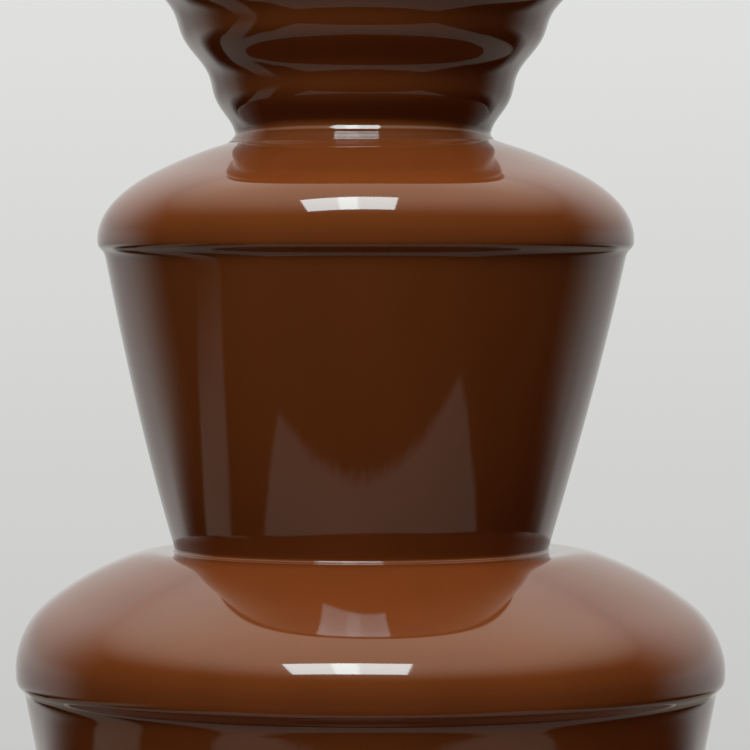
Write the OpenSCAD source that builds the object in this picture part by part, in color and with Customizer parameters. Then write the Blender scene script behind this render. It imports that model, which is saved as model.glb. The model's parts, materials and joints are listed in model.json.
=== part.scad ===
// Three-tier chocolate fountain, running: a heated bowl on a round base, an auger in a tube,
// two domed tiers and a crown, with the molten chocolate that flows over them.
// Millimetres, +Z up, origin on the table under the centre of the tower.

/* [Feet] */
// Diameter of each rubber foot
foot_d = 30; // [24:1:36]
// Height of each rubber foot
foot_h = 10; // [8:0.5:14]
// Diameter of the circle on which the feet stand
foot_circle_d = 160; // [150:1:168]
// How far each levelling foot screws out
foot_travel = 10; // [4:1:12]
// Diameter of the levelling screw
stud_d = 8; // [6:1:10]

/* [Base] */
// Diameter of the base housing at its skirt
base_d = 214; // [206:1:230]
// Diameter of the base housing under the bowl
base_top_d = 192; // [188:1:200]
// Height of the base housing
base_h = 92; // [90:1:120]
// Thickness of the housing sheet
sheet_t = 1.2; // [0.8:0.1:1.6]
// Thickness of the base plate
plate_t = 2; // [1.5:0.1:3]

/* [Bowl] */
// Diameter of the bowl at its rolled rim
bowl_d = 280; // [260:1:310]
// Depth of the bowl
bowl_depth = 55; // [48:1:70]
// Thickness of the bowl sheet
bowl_t = 1; // [0.8:0.1:1.5]
// Depth of the chocolate in the bowl
pool_depth = 30; // [22:1:36]

/* [Tower] */
// Outer diameter of the tower tube
tube_d = 50; // [46:0.5:52]
// Wall of the tower tube
tube_t = 1.5; // [1.2:0.1:2]
// Fall from the lower tier's edge to the chocolate in the bowl
lower_fall = 94; // [84:1:120]
// Height from the lower tier's edge to the middle tier's edge
middle_gap = 99; // [94:1:120]
// Height from the middle tier's edge to the crown's rim
crown_gap = 64; // [60:1:80]

/* [Tiers] */
// Diameter of the lower tier
lower_tier_d = 160; // [150:1:176]
// Height of the lower tier's dome
lower_rise = 31; // [30:0.5:38]
// Diameter of the middle tier
middle_tier_d = 120; // [112:1:130]
// Height of the middle tier's dome
middle_rise = 25; // [22:0.5:28]
// Diameter of the crown's rim
crown_d = 94; // [88:1:100]
// Thickness of the tier sheet
tier_t = 1.2; // [0.8:0.1:1.6]

/* [Chocolate] */
// Thickness of the chocolate on a tier
film_t = 2; // [1.2:0.1:2.5]
// Thickness of a falling curtain
curtain_t = 1.5; // [1:0.1:1.8]
// Radius at which the crown's curtain lands on the middle tier
crown_landing_r = 29.2; // [28.8:0.1:33]
// Radius at which the middle curtain lands on the lower tier
middle_landing_r = 43.2; // [40:0.1:48]
// Radius at which the lower curtain lands in the bowl
lower_landing_r = 60; // [54:1:66]
// Height of the ripples in the crown's curtain
ripple_h = 0.6; // [0:0.1:0.8]
// Spacing of the ripples in the crown's curtain
ripple_step = 14; // [11:0.1:18]

/* [Auger] */
// Rise of the auger's flight in one turn
auger_pitch = 32; // [26:1:40]
// Gap between the auger's flight and the tube
auger_gap = 0.6; // [0.4:0.1:1]
// Diameter of the auger's core
core_d = 14; // [13:0.5:16]
// Thickness of the auger's flight
flight_t = 2.4; // [1.8:0.1:3]

/* [Drive] */
// Tooth size of the gears
gear_module = 1; // [0.9:0.05:1.05]
// Teeth of the motor pinion
pinion_teeth = 12; // [12:1:14]
// Teeth of the large idler gear
idler_teeth = 48; // [44:1:50]
// Teeth of the small idler gear
idler_pinion_teeth = 14; // [13:1:15]
// Teeth of the output gear
output_teeth = 56; // [54:1:58]
// Diameter of the drive shaft
shaft_d = 8; // [7:0.5:9]
// Diameter of the motor
motor_d = 36; // [32:1:38]
// Length of the motor
motor_l = 34; // [30:1:35]

/* [Controls] */
// Diameter of the heat knob
knob_d = 36; // [30:1:40]
// Height of the heat knob
knob_h = 17; // [14:1:20]
// Width of the control fascia
fascia_w = 108; // [102:1:114]
// Height of the control fascia
fascia_h = 44; // [42:1:48]
// How far the switch's rocker tips to each side
rocker_tip = 10; // [6:1:11]

/* [Hidden] */
$fn = 96;

// Clearances
slip = 0.2;      // parts that lift off or slide by hand
run = 0.05;      // a shaft in its bearing
part_gap = 0.3;  // faces of different moving pieces
skin_gap = 0.05; // chocolate on the piece that it covers
hole_gap = 0.2;  // a screw in its hole
inf = 400;       // longer than anything that a cutter goes through

// Feet
hex_h = 5;
hex_d = 15;
stud_seat = 5;
nut_h = 8;
foot_angles = [90, 210, 330];
base_z = foot_h + hex_h;
pan_z = base_z + plate_t;
stud_top = pan_z + nut_h + foot_travel + stud_seat;

// Housing
skirt_r = base_d / 2;
top_r = base_top_d / 2;
skirt_h = 16;
housing_corner = 8;
seat_z = base_z + base_h;
flange_r = 78;
pan_rim_h = 14;
skirt_screw_d = 4;
skirt_screw_z = base_z + 8;
skirt_screw_angles = [for (i = [0:5]) 30 + 60 * i];
vent_count = 7;
vent_w = 3;
vent_h = 26;
vent_step = 5;
floor_vent_y = -62;
pan_corner = 4;
skirt_corner = 12;
pod_cut_from = 60;
pod_cut_l = 60;

// Bowl
gasket_t = 2;
bowl_under = seat_z + gasket_t;
floor_z = bowl_under + bowl_t;
rim_z = floor_z + bowl_depth;
bowl_r = bowl_d / 2;
rim_roll = 3;
rim_corner = 4;
bowl_foot_r = 103;
bowl_corner = 16;
pool_z = floor_z + pool_depth;
stud_circle_r = 85;
bowl_stud_d = 4;
bowl_stud_l = 12;
bowl_nut_h = 3.2;
bowl_stud_angles = [for (i = [0:3]) 45 + 90 * i];

// Hub and shaft
hub_d = 20;
hub_flange_d = 34;
hub_flange_h = 3;
hub_nut_h = 5;
hub_thread_spare = 3;
hub_nut_d = 34;
seal_d = 16;
seal_h = 5;
drive_hex_l = 20;

// Tower
tube_r = tube_d / 2;
bore_r = tube_r - tube_t;
post_d = 8;
post_h = 12;
inlet_gap = 4;
tube_z = floor_z + inlet_gap;
port_w = 15;
port_h = 12;
lower_lip = pool_z + lower_fall;
middle_lip = lower_lip + middle_gap;
crown_rim = middle_lip + crown_gap;
cup_h = 18;
cup_floor = 2;
cup_throat = 8;
cup_lip = [16, 4];
sleeve_h = 16;
tube_top = crown_rim - cup_h;
ring_h = 4;
ring_w = 2.7;
spigot_h = 8;
spigot_w = 3;
collar_h = 13;
lower_collar_r = tube_r + spigot_w + slip;
middle_collar_r = tube_r + slip;

// Domes: the drop of the first stretch, its share of the width, and where the shoulder starts
lower_fall_slope = 0.12;
middle_fall_slope = 0.37;
lower_reach = 0.62;
middle_reach = 0.57;
lower_shoulder = 15.5;
middle_shoulder = 11.7;
hem = 2.5;
collar_bend = 2.5;

// Curtains
bead = 2.5;
bead_r = 2.9;
bead_turn = 60;
tier_bow = 0.82;
crown_bow = 1;
crown_bead_r = 2.6;
crown_bead_turn = 35;
crown_overhang = 2.4;
curtain_steps = 24;
crown_swell = 7;
swell_reach = 0.55;
swell_end = 0.6;
ripple_start = 8.7;

// Auger
auger_foot_gap = 2;
auger_z = floor_z + hub_flange_h + auger_foot_gap;
auger_end_gap = 6;
auger_top = tube_top - auger_end_gap;
flight_inset = 3;
flight_clear = 1.5;
flight_z = floor_z + post_h + flight_clear;
flight_top = auger_top - flight_inset;
flight_r = bore_r - auger_gap;
hex_inset = 1.5;
hex_z = auger_z + hex_inset;
hex_top = hex_z + drive_hex_l;
core_r = core_d / 2;
rings_per_turn = 24;

// Gearbox
pressure_angle = 25;
dedendum = 1.25;
backlash = 0.16;
motor_floor_gap = 5;
gear_plate_t = 2.5;
low_plate_z = pan_z + motor_floor_gap + motor_l;
gear_side_gap = 1.5;
gear_z = low_plate_z + gear_plate_t + gear_side_gap;
stage_h = 8;
stage_gap = 2;
output_z = gear_z + stage_h + stage_gap;
output_top_gap = 3;
high_plate_z = output_z + stage_h + output_top_gap;
output_to_idler = gear_module * (output_teeth + idler_pinion_teeth) / 2;
idler_to_motor = gear_module * (idler_teeth + pinion_teeth) / 2;
motor_angle = 120;
idler_at = [output_to_idler, 0];
motor_at = idler_at + idler_to_motor * [cos(motor_angle), sin(motor_angle)];
pillar_d = 10;
spacer_d = 8;
gear_screw_d = 4;
gear_screw_head_h = 2.4;
pillar_x = [-27, idler_at[0] + 23];
pillar_y = 29;
pillar_at = [for (x = pillar_x, y = [-pillar_y, pillar_y]) [x, y]];
bearing_d = 14;
idler_pin_d = 4;
motor_shaft_d = 3.2;
motor_end_t = 6;
motor_slot = [5, 3, 10];
motor_slot_z = 8;
motor_boss_d = 12;

// Heater
heater_r = 60;
heater_tube_r = 3.2;
spreader_t = 2;
spreader_in_r = 36;
spreader_out_r = 76;
spreader_z = bowl_under - spreader_t;
heater_z = spreader_z - heater_tube_r - skin_gap;
heater_end_angle = 14;
terminal_d = 8;
terminal_l = 15;
terminal_cap = 2;
clip_angles = [200, 270, 340];
clip_w = 7;
clip_t = 1.5;
cutout_d = 16;
cutout_h = 9;
cutout_r = 47;
cutout_angle = 225;
cutout_at = cutout_r * [cos(cutout_angle), sin(cutout_angle)];
bulb_d = 5;
bulb_l = 34;
bulb_y = -69.5;
capillary_d = 2;

// Controls, on a flat-faced pod that stands out of the round housing
pod_wall = 2.5;
pod_corner = 9;
control_h = 51.5;
control_z = base_z + control_h;
pod_grip = 4;
fascia_y = -(skirt_r + 1);
knob_x = -30;
lamp_x = 3;
rocker_x = 30;
knob_gap = 0.8;
spindle_d = 6;
neck_d = 10;
neck_l = 2.6;
thermostat_size = [32, 22, 28];
thermostat_floor = 4;
spindle_reach = 7;
switch_w = 13;
switch_h = 20.4;
switch_wall = 0.9;
bezel_t = 2;
bezel_lip = 1.6;
rocker_w = 10.4;
rocker_half = 7.9;
rocker_face = 8;
rocker_pivot = 6;
rocker_pin_d = 2.4;
switch_depth = 18;
switch_floor = 4;
rocker_root = 3;
rocker_taper = 1.4;
rocker_dip = 1.2;
lamp_d = 9;
lamp_flange_d = 12;

// Rear panel with its appliance inlet
rear_w = 66;
rear_h = 40;
rear_z = control_z;
rear_y = skirt_r + 1;
inlet_w = 27;
inlet_h = 20;
inlet_flange_w = 31;
inlet_flange_h = 24;
inlet_flange_t = 2;
inlet_depth = 20;
inlet_mouth = [24, 16.6];
inlet_mouth_depth = 16;
inlet_chamfer = 4;
inlet_pin = [2, 12, 4];
inlet_pin_at = [[-7, -2], [7, -2], [0, 2]];
inlet_tail_l = 6;
lead_d = 2.6;

// Curves and outlines

function unit(v) = v / norm(v);
function reversed(list) = [for (i = [len(list) - 1:-1:0]) list[i]];
function wrap(angle) = angle > 180 ? angle - 360 : angle < -180 ? angle + 360 : angle;

// Arc of n steps about centre c from angle a0 through the angle sweep
function arc(c, r, a0, sweep, n = 10) =
    [for (i = [0:n]) c + r * [cos(a0 + sweep * i / n), sin(a0 + sweep * i / n)]];

// The corner p1 between p0 and p2, rounded to radius r
function rounded_corner(p0, p1, p2, r) =
    let (u = unit(p0 - p1), v = unit(p2 - p1), half = acos(u * v) / 2)
    let (c = p1 + unit(u + v) * r / sin(half), s = p1 + u * r / tan(half) - c)
    let (e = p1 + v * r / tan(half) - c, a0 = atan2(s[1], s[0]))
    arc(c, r, a0, wrap(atan2(e[1], e[0]) - a0));

// An open line of points whose inner corners are rounded to the radii given
function rounded_line(pts, radii) = [
    for (i = [0:len(pts) - 1])
        let (r = radii[i], inner = i > 0 && i < len(pts) - 1)
        each (inner && r > 0 ? rounded_corner(pts[i - 1], pts[i], pts[i + 1], r) : [pts[i]])
];

// The line moved d to the left of its direction
function beside(line, d) = [
    for (i = [0:len(line) - 1])
        let (a = unit(line[max(i, 1)] - line[max(i, 1) - 1]))
        let (b = unit(line[min(i, len(line) - 2) + 1] - line[min(i, len(line) - 2)]))
        let (m = unit(a + b), left = [-m[1], m[0]])
        line[i] + left * d / max(0.5, a * m)
];

// Closed outline of a sheet of thickness t on the left of a line, or on its right where t is negative
function sheet_outline(line, t) = concat(line, reversed(beside(line, t)));

function bezier(p0, p1, p2, p3, n) = [
    for (i = [0:n])
        let (t = i / n, s = 1 - t)
        s * s * s * p0 + 3 * s * s * t * p1 + 3 * s * t * t * p2 + t * t * t * p3
];

// Smooth curve through points in space, with n steps between neighbours
function spline(p, n) = [
    for (i = [0:len(p) - 2], k = [0:n - 1])
        let (a = p[max(i - 1, 0)], b = p[i], c = p[i + 1], d = p[min(i + 2, len(p) - 1)], t = k / n)
        (2 * b + (c - a) * t + (2 * a - 5 * b + 4 * c - d) * t * t
            + (3 * b - a - 3 * c + d) * t * t * t) / 2,
    p[len(p) - 1]
];

function round_rect(w, h, r) = [
    for (i = [0:3])
        let (sx = [1, -1, -1, 1][i], sy = [1, 1, -1, -1][i])
        each arc([sx * (w / 2 - r), sy * (h / 2 - r)], r, 90 * i, 90, 8)
];

function polar(r, angle, z) = [r * cos(angle), r * sin(angle), z];

// Shapes that repeat

module revolve(outline) {
    rotate_extrude() polygon(outline);
}

module ring(r_out, r_in, z, h) {
    translate([0, 0, z])
        difference() {
            cylinder(h = h, r = r_out);
            translate([0, 0, -1]) cylinder(h = h + 2, r = r_in);
        }
}

module rod(d, z, h) {
    translate([0, 0, z]) cylinder(h = h, d = d);
}

module hex_nut(across, z, h, bore) {
    translate([0, 0, z])
        difference() {
            cylinder(h = h, d = across, $fn = 6);
            translate([0, 0, -1]) cylinder(h = h + 2, d = bore);
        }
}

// Round tube of even-sided rings along a line of points in space
module sweep(line, d, sides = 8) {
    n = len(line);
    function along(i) = unit(line[min(i + 1, n - 1)] - line[max(i - 1, 0)]);
    function across(i) = unit(cross(along(i), abs(along(i)[2]) > 0.9 ? [1, 0, 0] : [0, 0, 1]));
    rings = [
        for (i = [0:n - 1], k = [0:sides - 1])
            let (u = across(i), v = cross(along(i), u), a = 360 * k / sides)
            line[i] + d / 2 * (cos(a) * u + sin(a) * v)
    ];
    walls = [
        for (i = [0:n - 2], k = [0:sides - 1])
            let (a = i * sides + k, b = i * sides + (k + 1) % sides)
            each [[a, a + sides, b + sides], [a, b + sides, b]]
    ];
    start = [for (k = [1:sides - 2]) [0, k, k + 1]];
    last = (n - 1) * sides;
    end = [for (k = [1:sides - 2]) [last, last + k + 1, last + k]];
    polyhedron(points = rings, faces = concat(walls, start, end));
}

// Involute spur gear with a tooth centred on +X
function inv_angle(a) = tan(a) * 180 / PI - a;

module toothed_disc(teeth, h) {
    pitch_r = gear_module * teeth / 2;
    base_r = pitch_r * cos(pressure_angle);
    tip_r = pitch_r + gear_module;
    root_r = pitch_r - dedendum * gear_module;
    half_pitch = (PI * gear_module / 2 - backlash) / 2 / pitch_r * 180 / PI;
    flank_from = max(base_r, root_r);
    steps = 5;
    function half_at(r) = half_pitch + inv_angle(pressure_angle) - inv_angle(acos(base_r / r));
    flank = [
        for (i = [0:steps])
            let (r = flank_from + (tip_r - flank_from) * i / steps)
            [r, half_at(r)]
    ];
    side = root_r < base_r ? concat([[root_r, half_at(base_r)]], flank) : flank;
    outline = [
        for (i = [0:teeth - 1])
            let (mid = 360 * i / teeth)
            each concat(
                [for (p = side) p[0] * [cos(mid - p[1]), sin(mid - p[1])]],
                [for (p = reversed(side)) p[0] * [cos(mid + p[1]), sin(mid + p[1])]]
            )
    ];
    linear_extrude(height = h) polygon(outline);
}

module spur_gear(teeth, h, bore) {
    difference() {
        toothed_disc(teeth, h);
        rod(bore, -1, h + 2);
    }
}

// A piece that is modelled upright, laid so that its own +Z points out of the front of the base
module facing_front(x, y, z) {
    translate([x, y, z]) rotate([90, 0, 0]) children();
}

// Feet

module foot_pad(i) {
    edge = 2;
    outline = rounded_line([
        [0, 0],
        [foot_d / 2 - edge, 0],
        [foot_d / 2, foot_h / 2],
        [foot_d / 2 - edge, foot_h],
        [0, foot_h]
    ], [0, 1, 2, 1, 0]);
    color([0.08, 0.08, 0.08])
        translate(polar(foot_circle_d / 2, foot_angles[i], 0))
            difference() {
                revolve(outline);
                rod(stud_d + 2 * run, foot_h - stud_seat, stud_seat + 1);
            }
}

module foot_stud(i) {
    color([0.7, 0.7, 0.72])
        translate(polar(foot_circle_d / 2, foot_angles[i], 0)) {
            rod(stud_d, foot_h - stud_seat, stud_top - foot_h + stud_seat);
            translate([0, 0, foot_h]) cylinder(h = hex_h, d = hex_d, $fn = 6);
        }
}

module foot_nuts() {
    color([0.7, 0.7, 0.72])
        for (a = foot_angles)
            translate(polar(foot_circle_d / 2, a, 0))
                hex_nut(hex_d, pan_z, nut_h, stud_d + 2 * run);
}

// Base plate and housing

pan_r = skirt_r - sheet_t - slip;

module base_plate() {
    pan_line = rounded_line(
        [[0, base_z], [pan_r, base_z], [pan_r, base_z + pan_rim_h]],
        [0, pan_corner, 0]
    );
    slot_count = 5;
    color([0.55, 0.56, 0.58])
        difference() {
            revolve(sheet_outline(pan_line, plate_t));
            for (a = foot_angles)
                translate(polar(foot_circle_d / 2, a, 0)) rod(stud_d + 1, 0, inf);
            for (a = skirt_screw_angles)
                translate([0, 0, skirt_screw_z]) rotate([0, 90, a]) rod(skirt_screw_d, 0, inf);
            for (p = pillar_at)
                translate(p) rod(gear_screw_d + hole_gap, 0, inf);
            for (side = [-1, 1], i = [0:slot_count - 1])
                translate([side * (vent_step + vent_w) * (i + 1) - vent_w / 2, floor_vent_y, 0])
                    cube([vent_w, vent_h, inf]);
        }
}

// Radius of the housing's outer face at a height on its sloping wall
function housing_r(z) = let (z0 = base_z + skirt_h, z1 = seat_z - housing_corner)
    skirt_r + (top_r - skirt_r) * (z - z0) / (z1 - z0);

housing_line = rounded_line([
    [skirt_r, base_z],
    [skirt_r, base_z + skirt_h],
    [top_r, seat_z],
    [flange_r, seat_z]
], [0, skirt_corner, housing_corner, 0]);

module pod_cut(w, h, y) {
    facing_front(0, y, control_z)
        linear_extrude(height = pod_cut_l)
            polygon(round_rect(w + 2 * part_gap, h + 2 * part_gap, pod_corner + part_gap));
}

module base_housing() {
    color([0.78, 0.78, 0.8])
        difference() {
            revolve(sheet_outline(housing_line, sheet_t));
            pod_cut(fascia_w, fascia_h, -pod_cut_from);
            pod_cut(rear_w, rear_h, pod_cut_from + pod_cut_l);
            for (a = skirt_screw_angles)
                translate([0, 0, skirt_screw_z])
                    rotate([0, 90, a]) rod(skirt_screw_d + 2 * hole_gap, 0, inf);
            for (a = bowl_stud_angles)
                translate(polar(stud_circle_r, a, 0)) rod(bowl_stud_d + 2 * hole_gap, control_z, inf);
            for (side = [0, 180], i = [0:vent_count - 1])
                rotate(side + vent_step * (i - (vent_count - 1) / 2))
                    translate([pod_cut_from, -vent_w / 2, control_z - vent_h / 2])
                        cube([pod_cut_l, vent_w, vent_h]);
        }
}

module housing_screws() {
    head_d = 8;
    head_h = 2.4;
    shank_l = 8;
    socket = [3, 1.2];
    head = rounded_line([[0, 0], [head_d / 2, 0], [head_d / 2, head_h], [0, head_h]], [0, 0, 1.6, 0]);
    color([0.75, 0.75, 0.77])
        for (a = skirt_screw_angles)
            rotate(a)
                translate([skirt_r + skin_gap, 0, skirt_screw_z])
                    rotate([0, 90, 0])
                        difference() {
                            union() {
                                revolve(head);
                                rod(skirt_screw_d - 2 * run, -shank_l, shank_l + head_h / 4);
                            }
                            translate([0, 0, head_h - socket[1]])
                                cylinder(h = 2 * socket[1], d = socket[0], $fn = 6);
                        }
}

// Control fascia and what it carries

// Depth of a pod whose face stands at a distance from the axis, so that its back grips the housing
function pod_depth(w, h, face) =
    face + pod_grip - sqrt(pow(housing_r(control_z + h / 2), 2) - pow(w / 2, 2));

// A moulded box with a flat face and an open back, standing out of the housing
module pod(w, h, depth) {
    lip = 1.5;
    difference() {
        union() {
            linear_extrude(height = depth - lip) polygon(round_rect(w, h, pod_corner));
            linear_extrude(height = depth)
                polygon(round_rect(w - 2 * lip, h - 2 * lip, pod_corner - lip));
        }
        translate([0, 0, -1])
            linear_extrude(height = depth - pod_wall + 1)
                polygon(round_rect(w - 2 * pod_wall, h - 2 * pod_wall, pod_corner - pod_wall));
    }
}

module control_fascia() {
    depth = pod_depth(fascia_w, fascia_h, -fascia_y);
    color([0.06, 0.06, 0.065])
        difference() {
            facing_front(0, fascia_y + depth, control_z) pod(fascia_w, fascia_h, depth);
            facing_front(knob_x, 0, control_z) rod(neck_d + 2 * hole_gap, 0, inf);
            facing_front(lamp_x, 0, control_z) rod(lamp_d + 2 * hole_gap, 0, inf);
            facing_front(rocker_x, 0, control_z)
                linear_extrude(height = inf)
                    square([switch_w + 2 * hole_gap, switch_h + 2 * hole_gap], center = true);
        }
}

fascia_back = fascia_y + pod_wall;

module thermostat_body() {
    color([0.85, 0.83, 0.76])
        difference() {
            union() {
                translate([
                    knob_x - thermostat_size[0] / 2,
                    fascia_back,
                    control_z - thermostat_size[2] / 2
                ]) cube(thermostat_size);
                facing_front(knob_x, fascia_back, control_z) rod(neck_d, -1, pod_wall + neck_l + 1);
            }
            facing_front(knob_x, fascia_back, control_z)
                rod(spindle_d + 2 * run, thermostat_floor - thermostat_size[1], inf);
        }
}

module knob_spindle() {
    root = thermostat_size[1] - thermostat_floor - 1;
    color([0.72, 0.72, 0.74])
        facing_front(knob_x, fascia_back, control_z)
            rod(spindle_d, -root, root + pod_wall + neck_l + spindle_reach);
}

module heat_knob() {
    flutes = 20;
    flute_d = 3;
    flute_out = 0.7;
    skirt_step = 4;
    pointer = [1.6, 9, 0.8];
    grip_r = knob_d / 2 - 2;
    outline = rounded_line([
        [0, 0],
        [knob_d / 2, 0],
        [knob_d / 2, skirt_step],
        [grip_r, skirt_step],
        [grip_r - 1, knob_h],
        [0, knob_h]
    ], [0, 0, 1, 0.6, 2, 0]);
    bore_l = neck_l + spindle_reach - knob_gap + part_gap;
    color([0.07, 0.07, 0.075])
        facing_front(knob_x, fascia_y - knob_gap, control_z)
            difference() {
                revolve(outline);
                rod(neck_d + 2, -1, neck_l + 1);
                rod(spindle_d + 2 * run, -1, bore_l + 1);
                for (i = [0:flutes - 1])
                    rotate(360 * i / flutes)
                        translate([grip_r + flute_out, 0, 0]) rod(flute_d, skirt_step + 1, knob_h);
                translate([-pointer[0] / 2, grip_r - pointer[1], knob_h - pointer[2]])
                    cube([pointer[0], 2 * pointer[1], 2 * pointer[2]]);
            }
}

module switch_body() {
    color([0.05, 0.05, 0.05])
        facing_front(rocker_x, fascia_y, control_z)
            difference() {
                union() {
                    translate([0, 0, -switch_depth])
                        linear_extrude(height = switch_depth + bezel_t / 2)
                            square([switch_w, switch_h], center = true);
                    linear_extrude(height = bezel_t)
                        polygon(round_rect(switch_w + 2 * bezel_lip, switch_h + 2 * bezel_lip, bezel_lip));
                }
                translate([0, 0, switch_floor - switch_depth])
                    linear_extrude(height = inf)
                        square([switch_w - 2 * switch_wall, switch_h - 2 * switch_wall], center = true);
                translate([-switch_w, 0, bezel_t - rocker_pivot])
                    rotate([0, 90, 0]) rod(rocker_pin_d + 2 * run, 0, 2 * switch_w);
            }
}

module motor_rocker() {
    pin_l = switch_w - 2 * part_gap;
    outline = [
        [-rocker_root, -rocker_half + rocker_taper],
        [rocker_face, -rocker_half],
        [rocker_face - rocker_dip, 0],
        [rocker_face, rocker_half],
        [-rocker_root, rocker_half - rocker_taper]
    ];
    color([0.75, 0.1, 0.08])
        facing_front(rocker_x, fascia_y, control_z)
            translate([0, 0, bezel_t - rocker_pivot])
                rotate([rocker_tip, 0, 0]) {
                    rotate([0, -90, 0])
                        translate([0, 0, -rocker_w / 2])
                            linear_extrude(height = rocker_w) polygon(outline);
                    rotate([0, 90, 0]) rod(rocker_pin_d, -pin_l / 2, pin_l);
                }
}

module pilot_lamp() {
    body_l = 14;
    dome_h = 2.6;
    outline = rounded_line([
        [0, -body_l],
        [lamp_d / 2, -body_l],
        [lamp_d / 2, 0],
        [lamp_flange_d / 2, 0],
        [lamp_flange_d / 2, 1],
        [lamp_flange_d / 2 - 1.5, dome_h],
        [0, dome_h]
    ], [0, 1, 0, 0, 0, 1.2, 0]);
    color([0.95, 0.55, 0.1]) facing_front(lamp_x, fascia_y, control_z) revolve(outline);
}

bulb_z = spreader_z - bulb_d / 2 - skin_gap;

// The last straight of a route: three points that end at p, coming from the direction given
function straight_in(p, from, l) = [p + from * l, p + from * l / 2, p];

module sensor_capillary() {
    bulb_end = [-bulb_l / 2, bulb_y, bulb_z];
    inlet_at = [knob_x + 8, fascia_back + thermostat_size[1], control_z + 9];
    route = concat(
        reversed(straight_in(bulb_end, [-1, 0, 0], 6)),
        [[knob_x - 1, bulb_y + 1, bulb_z - 4], [knob_x - 2, bulb_y + 4, bulb_z - 13]],
        straight_in(inlet_at, [0, 1, 0], 8)
    );
    color([0.72, 0.45, 0.2]) {
        translate([-bulb_l / 2, bulb_y, bulb_z]) rotate([0, 90, 0]) rod(bulb_d, 0, bulb_l);
        sweep(spline(route, 5), capillary_d);
    }
}

// Rear panel, inlet and leads

module rear_panel() {
    depth = pod_depth(rear_w, rear_h, rear_y);
    color([0.06, 0.06, 0.065])
        difference() {
            translate([0, rear_y - depth, rear_z]) rotate([-90, 0, 0]) pod(rear_w, rear_h, depth);
            translate([0, 0, rear_z])
                rotate([-90, 0, 0])
                    linear_extrude(height = inf)
                        square([inlet_w + 2 * hole_gap, inlet_h + 2 * hole_gap], center = true);
        }
}

// The inlet's outline with two chamfered corners
function inlet_outline(w, h, chamfer) = [
    [-w / 2, h / 2],
    [-w / 2, -h / 2 + chamfer],
    [-w / 2 + chamfer, -h / 2],
    [w / 2 - chamfer, -h / 2],
    [w / 2, -h / 2 + chamfer],
    [w / 2, h / 2]
];

module power_inlet() {
    pin_seat = 0.1;
    color([0.04, 0.04, 0.04])
        translate([0, rear_y, rear_z])
            rotate([-90, 0, 0])
                difference() {
                    union() {
                        linear_extrude(height = inlet_flange_t)
                            polygon(round_rect(inlet_flange_w, inlet_flange_h, 2));
                        translate([0, 0, -inlet_depth])
                            linear_extrude(height = inlet_depth + inlet_flange_t / 2)
                                square([inlet_w, inlet_h], center = true);
                    }
                    translate([0, 0, inlet_flange_t - inlet_mouth_depth])
                        linear_extrude(height = inf)
                            polygon(inlet_outline(inlet_mouth[0], inlet_mouth[1], inlet_chamfer));
                    for (p = inlet_pin_at)
                        translate([p[0], p[1], -inlet_depth - 1])
                            linear_extrude(height = inlet_depth)
                                square([inlet_pin[0] + pin_seat, inlet_pin[2] + pin_seat], center = true);
                }
}

module inlet_pins() {
    root = inlet_depth - inlet_mouth_depth + inlet_flange_t;
    color([0.8, 0.68, 0.35])
        translate([0, rear_y, rear_z])
            rotate([-90, 0, 0])
                for (p = inlet_pin_at)
                    translate([p[0], p[1], -inlet_depth - inlet_tail_l])
                        linear_extrude(height = inlet_tail_l + root + inlet_pin[1])
                            square([inlet_pin[0], inlet_pin[2]], center = true);
}

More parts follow.
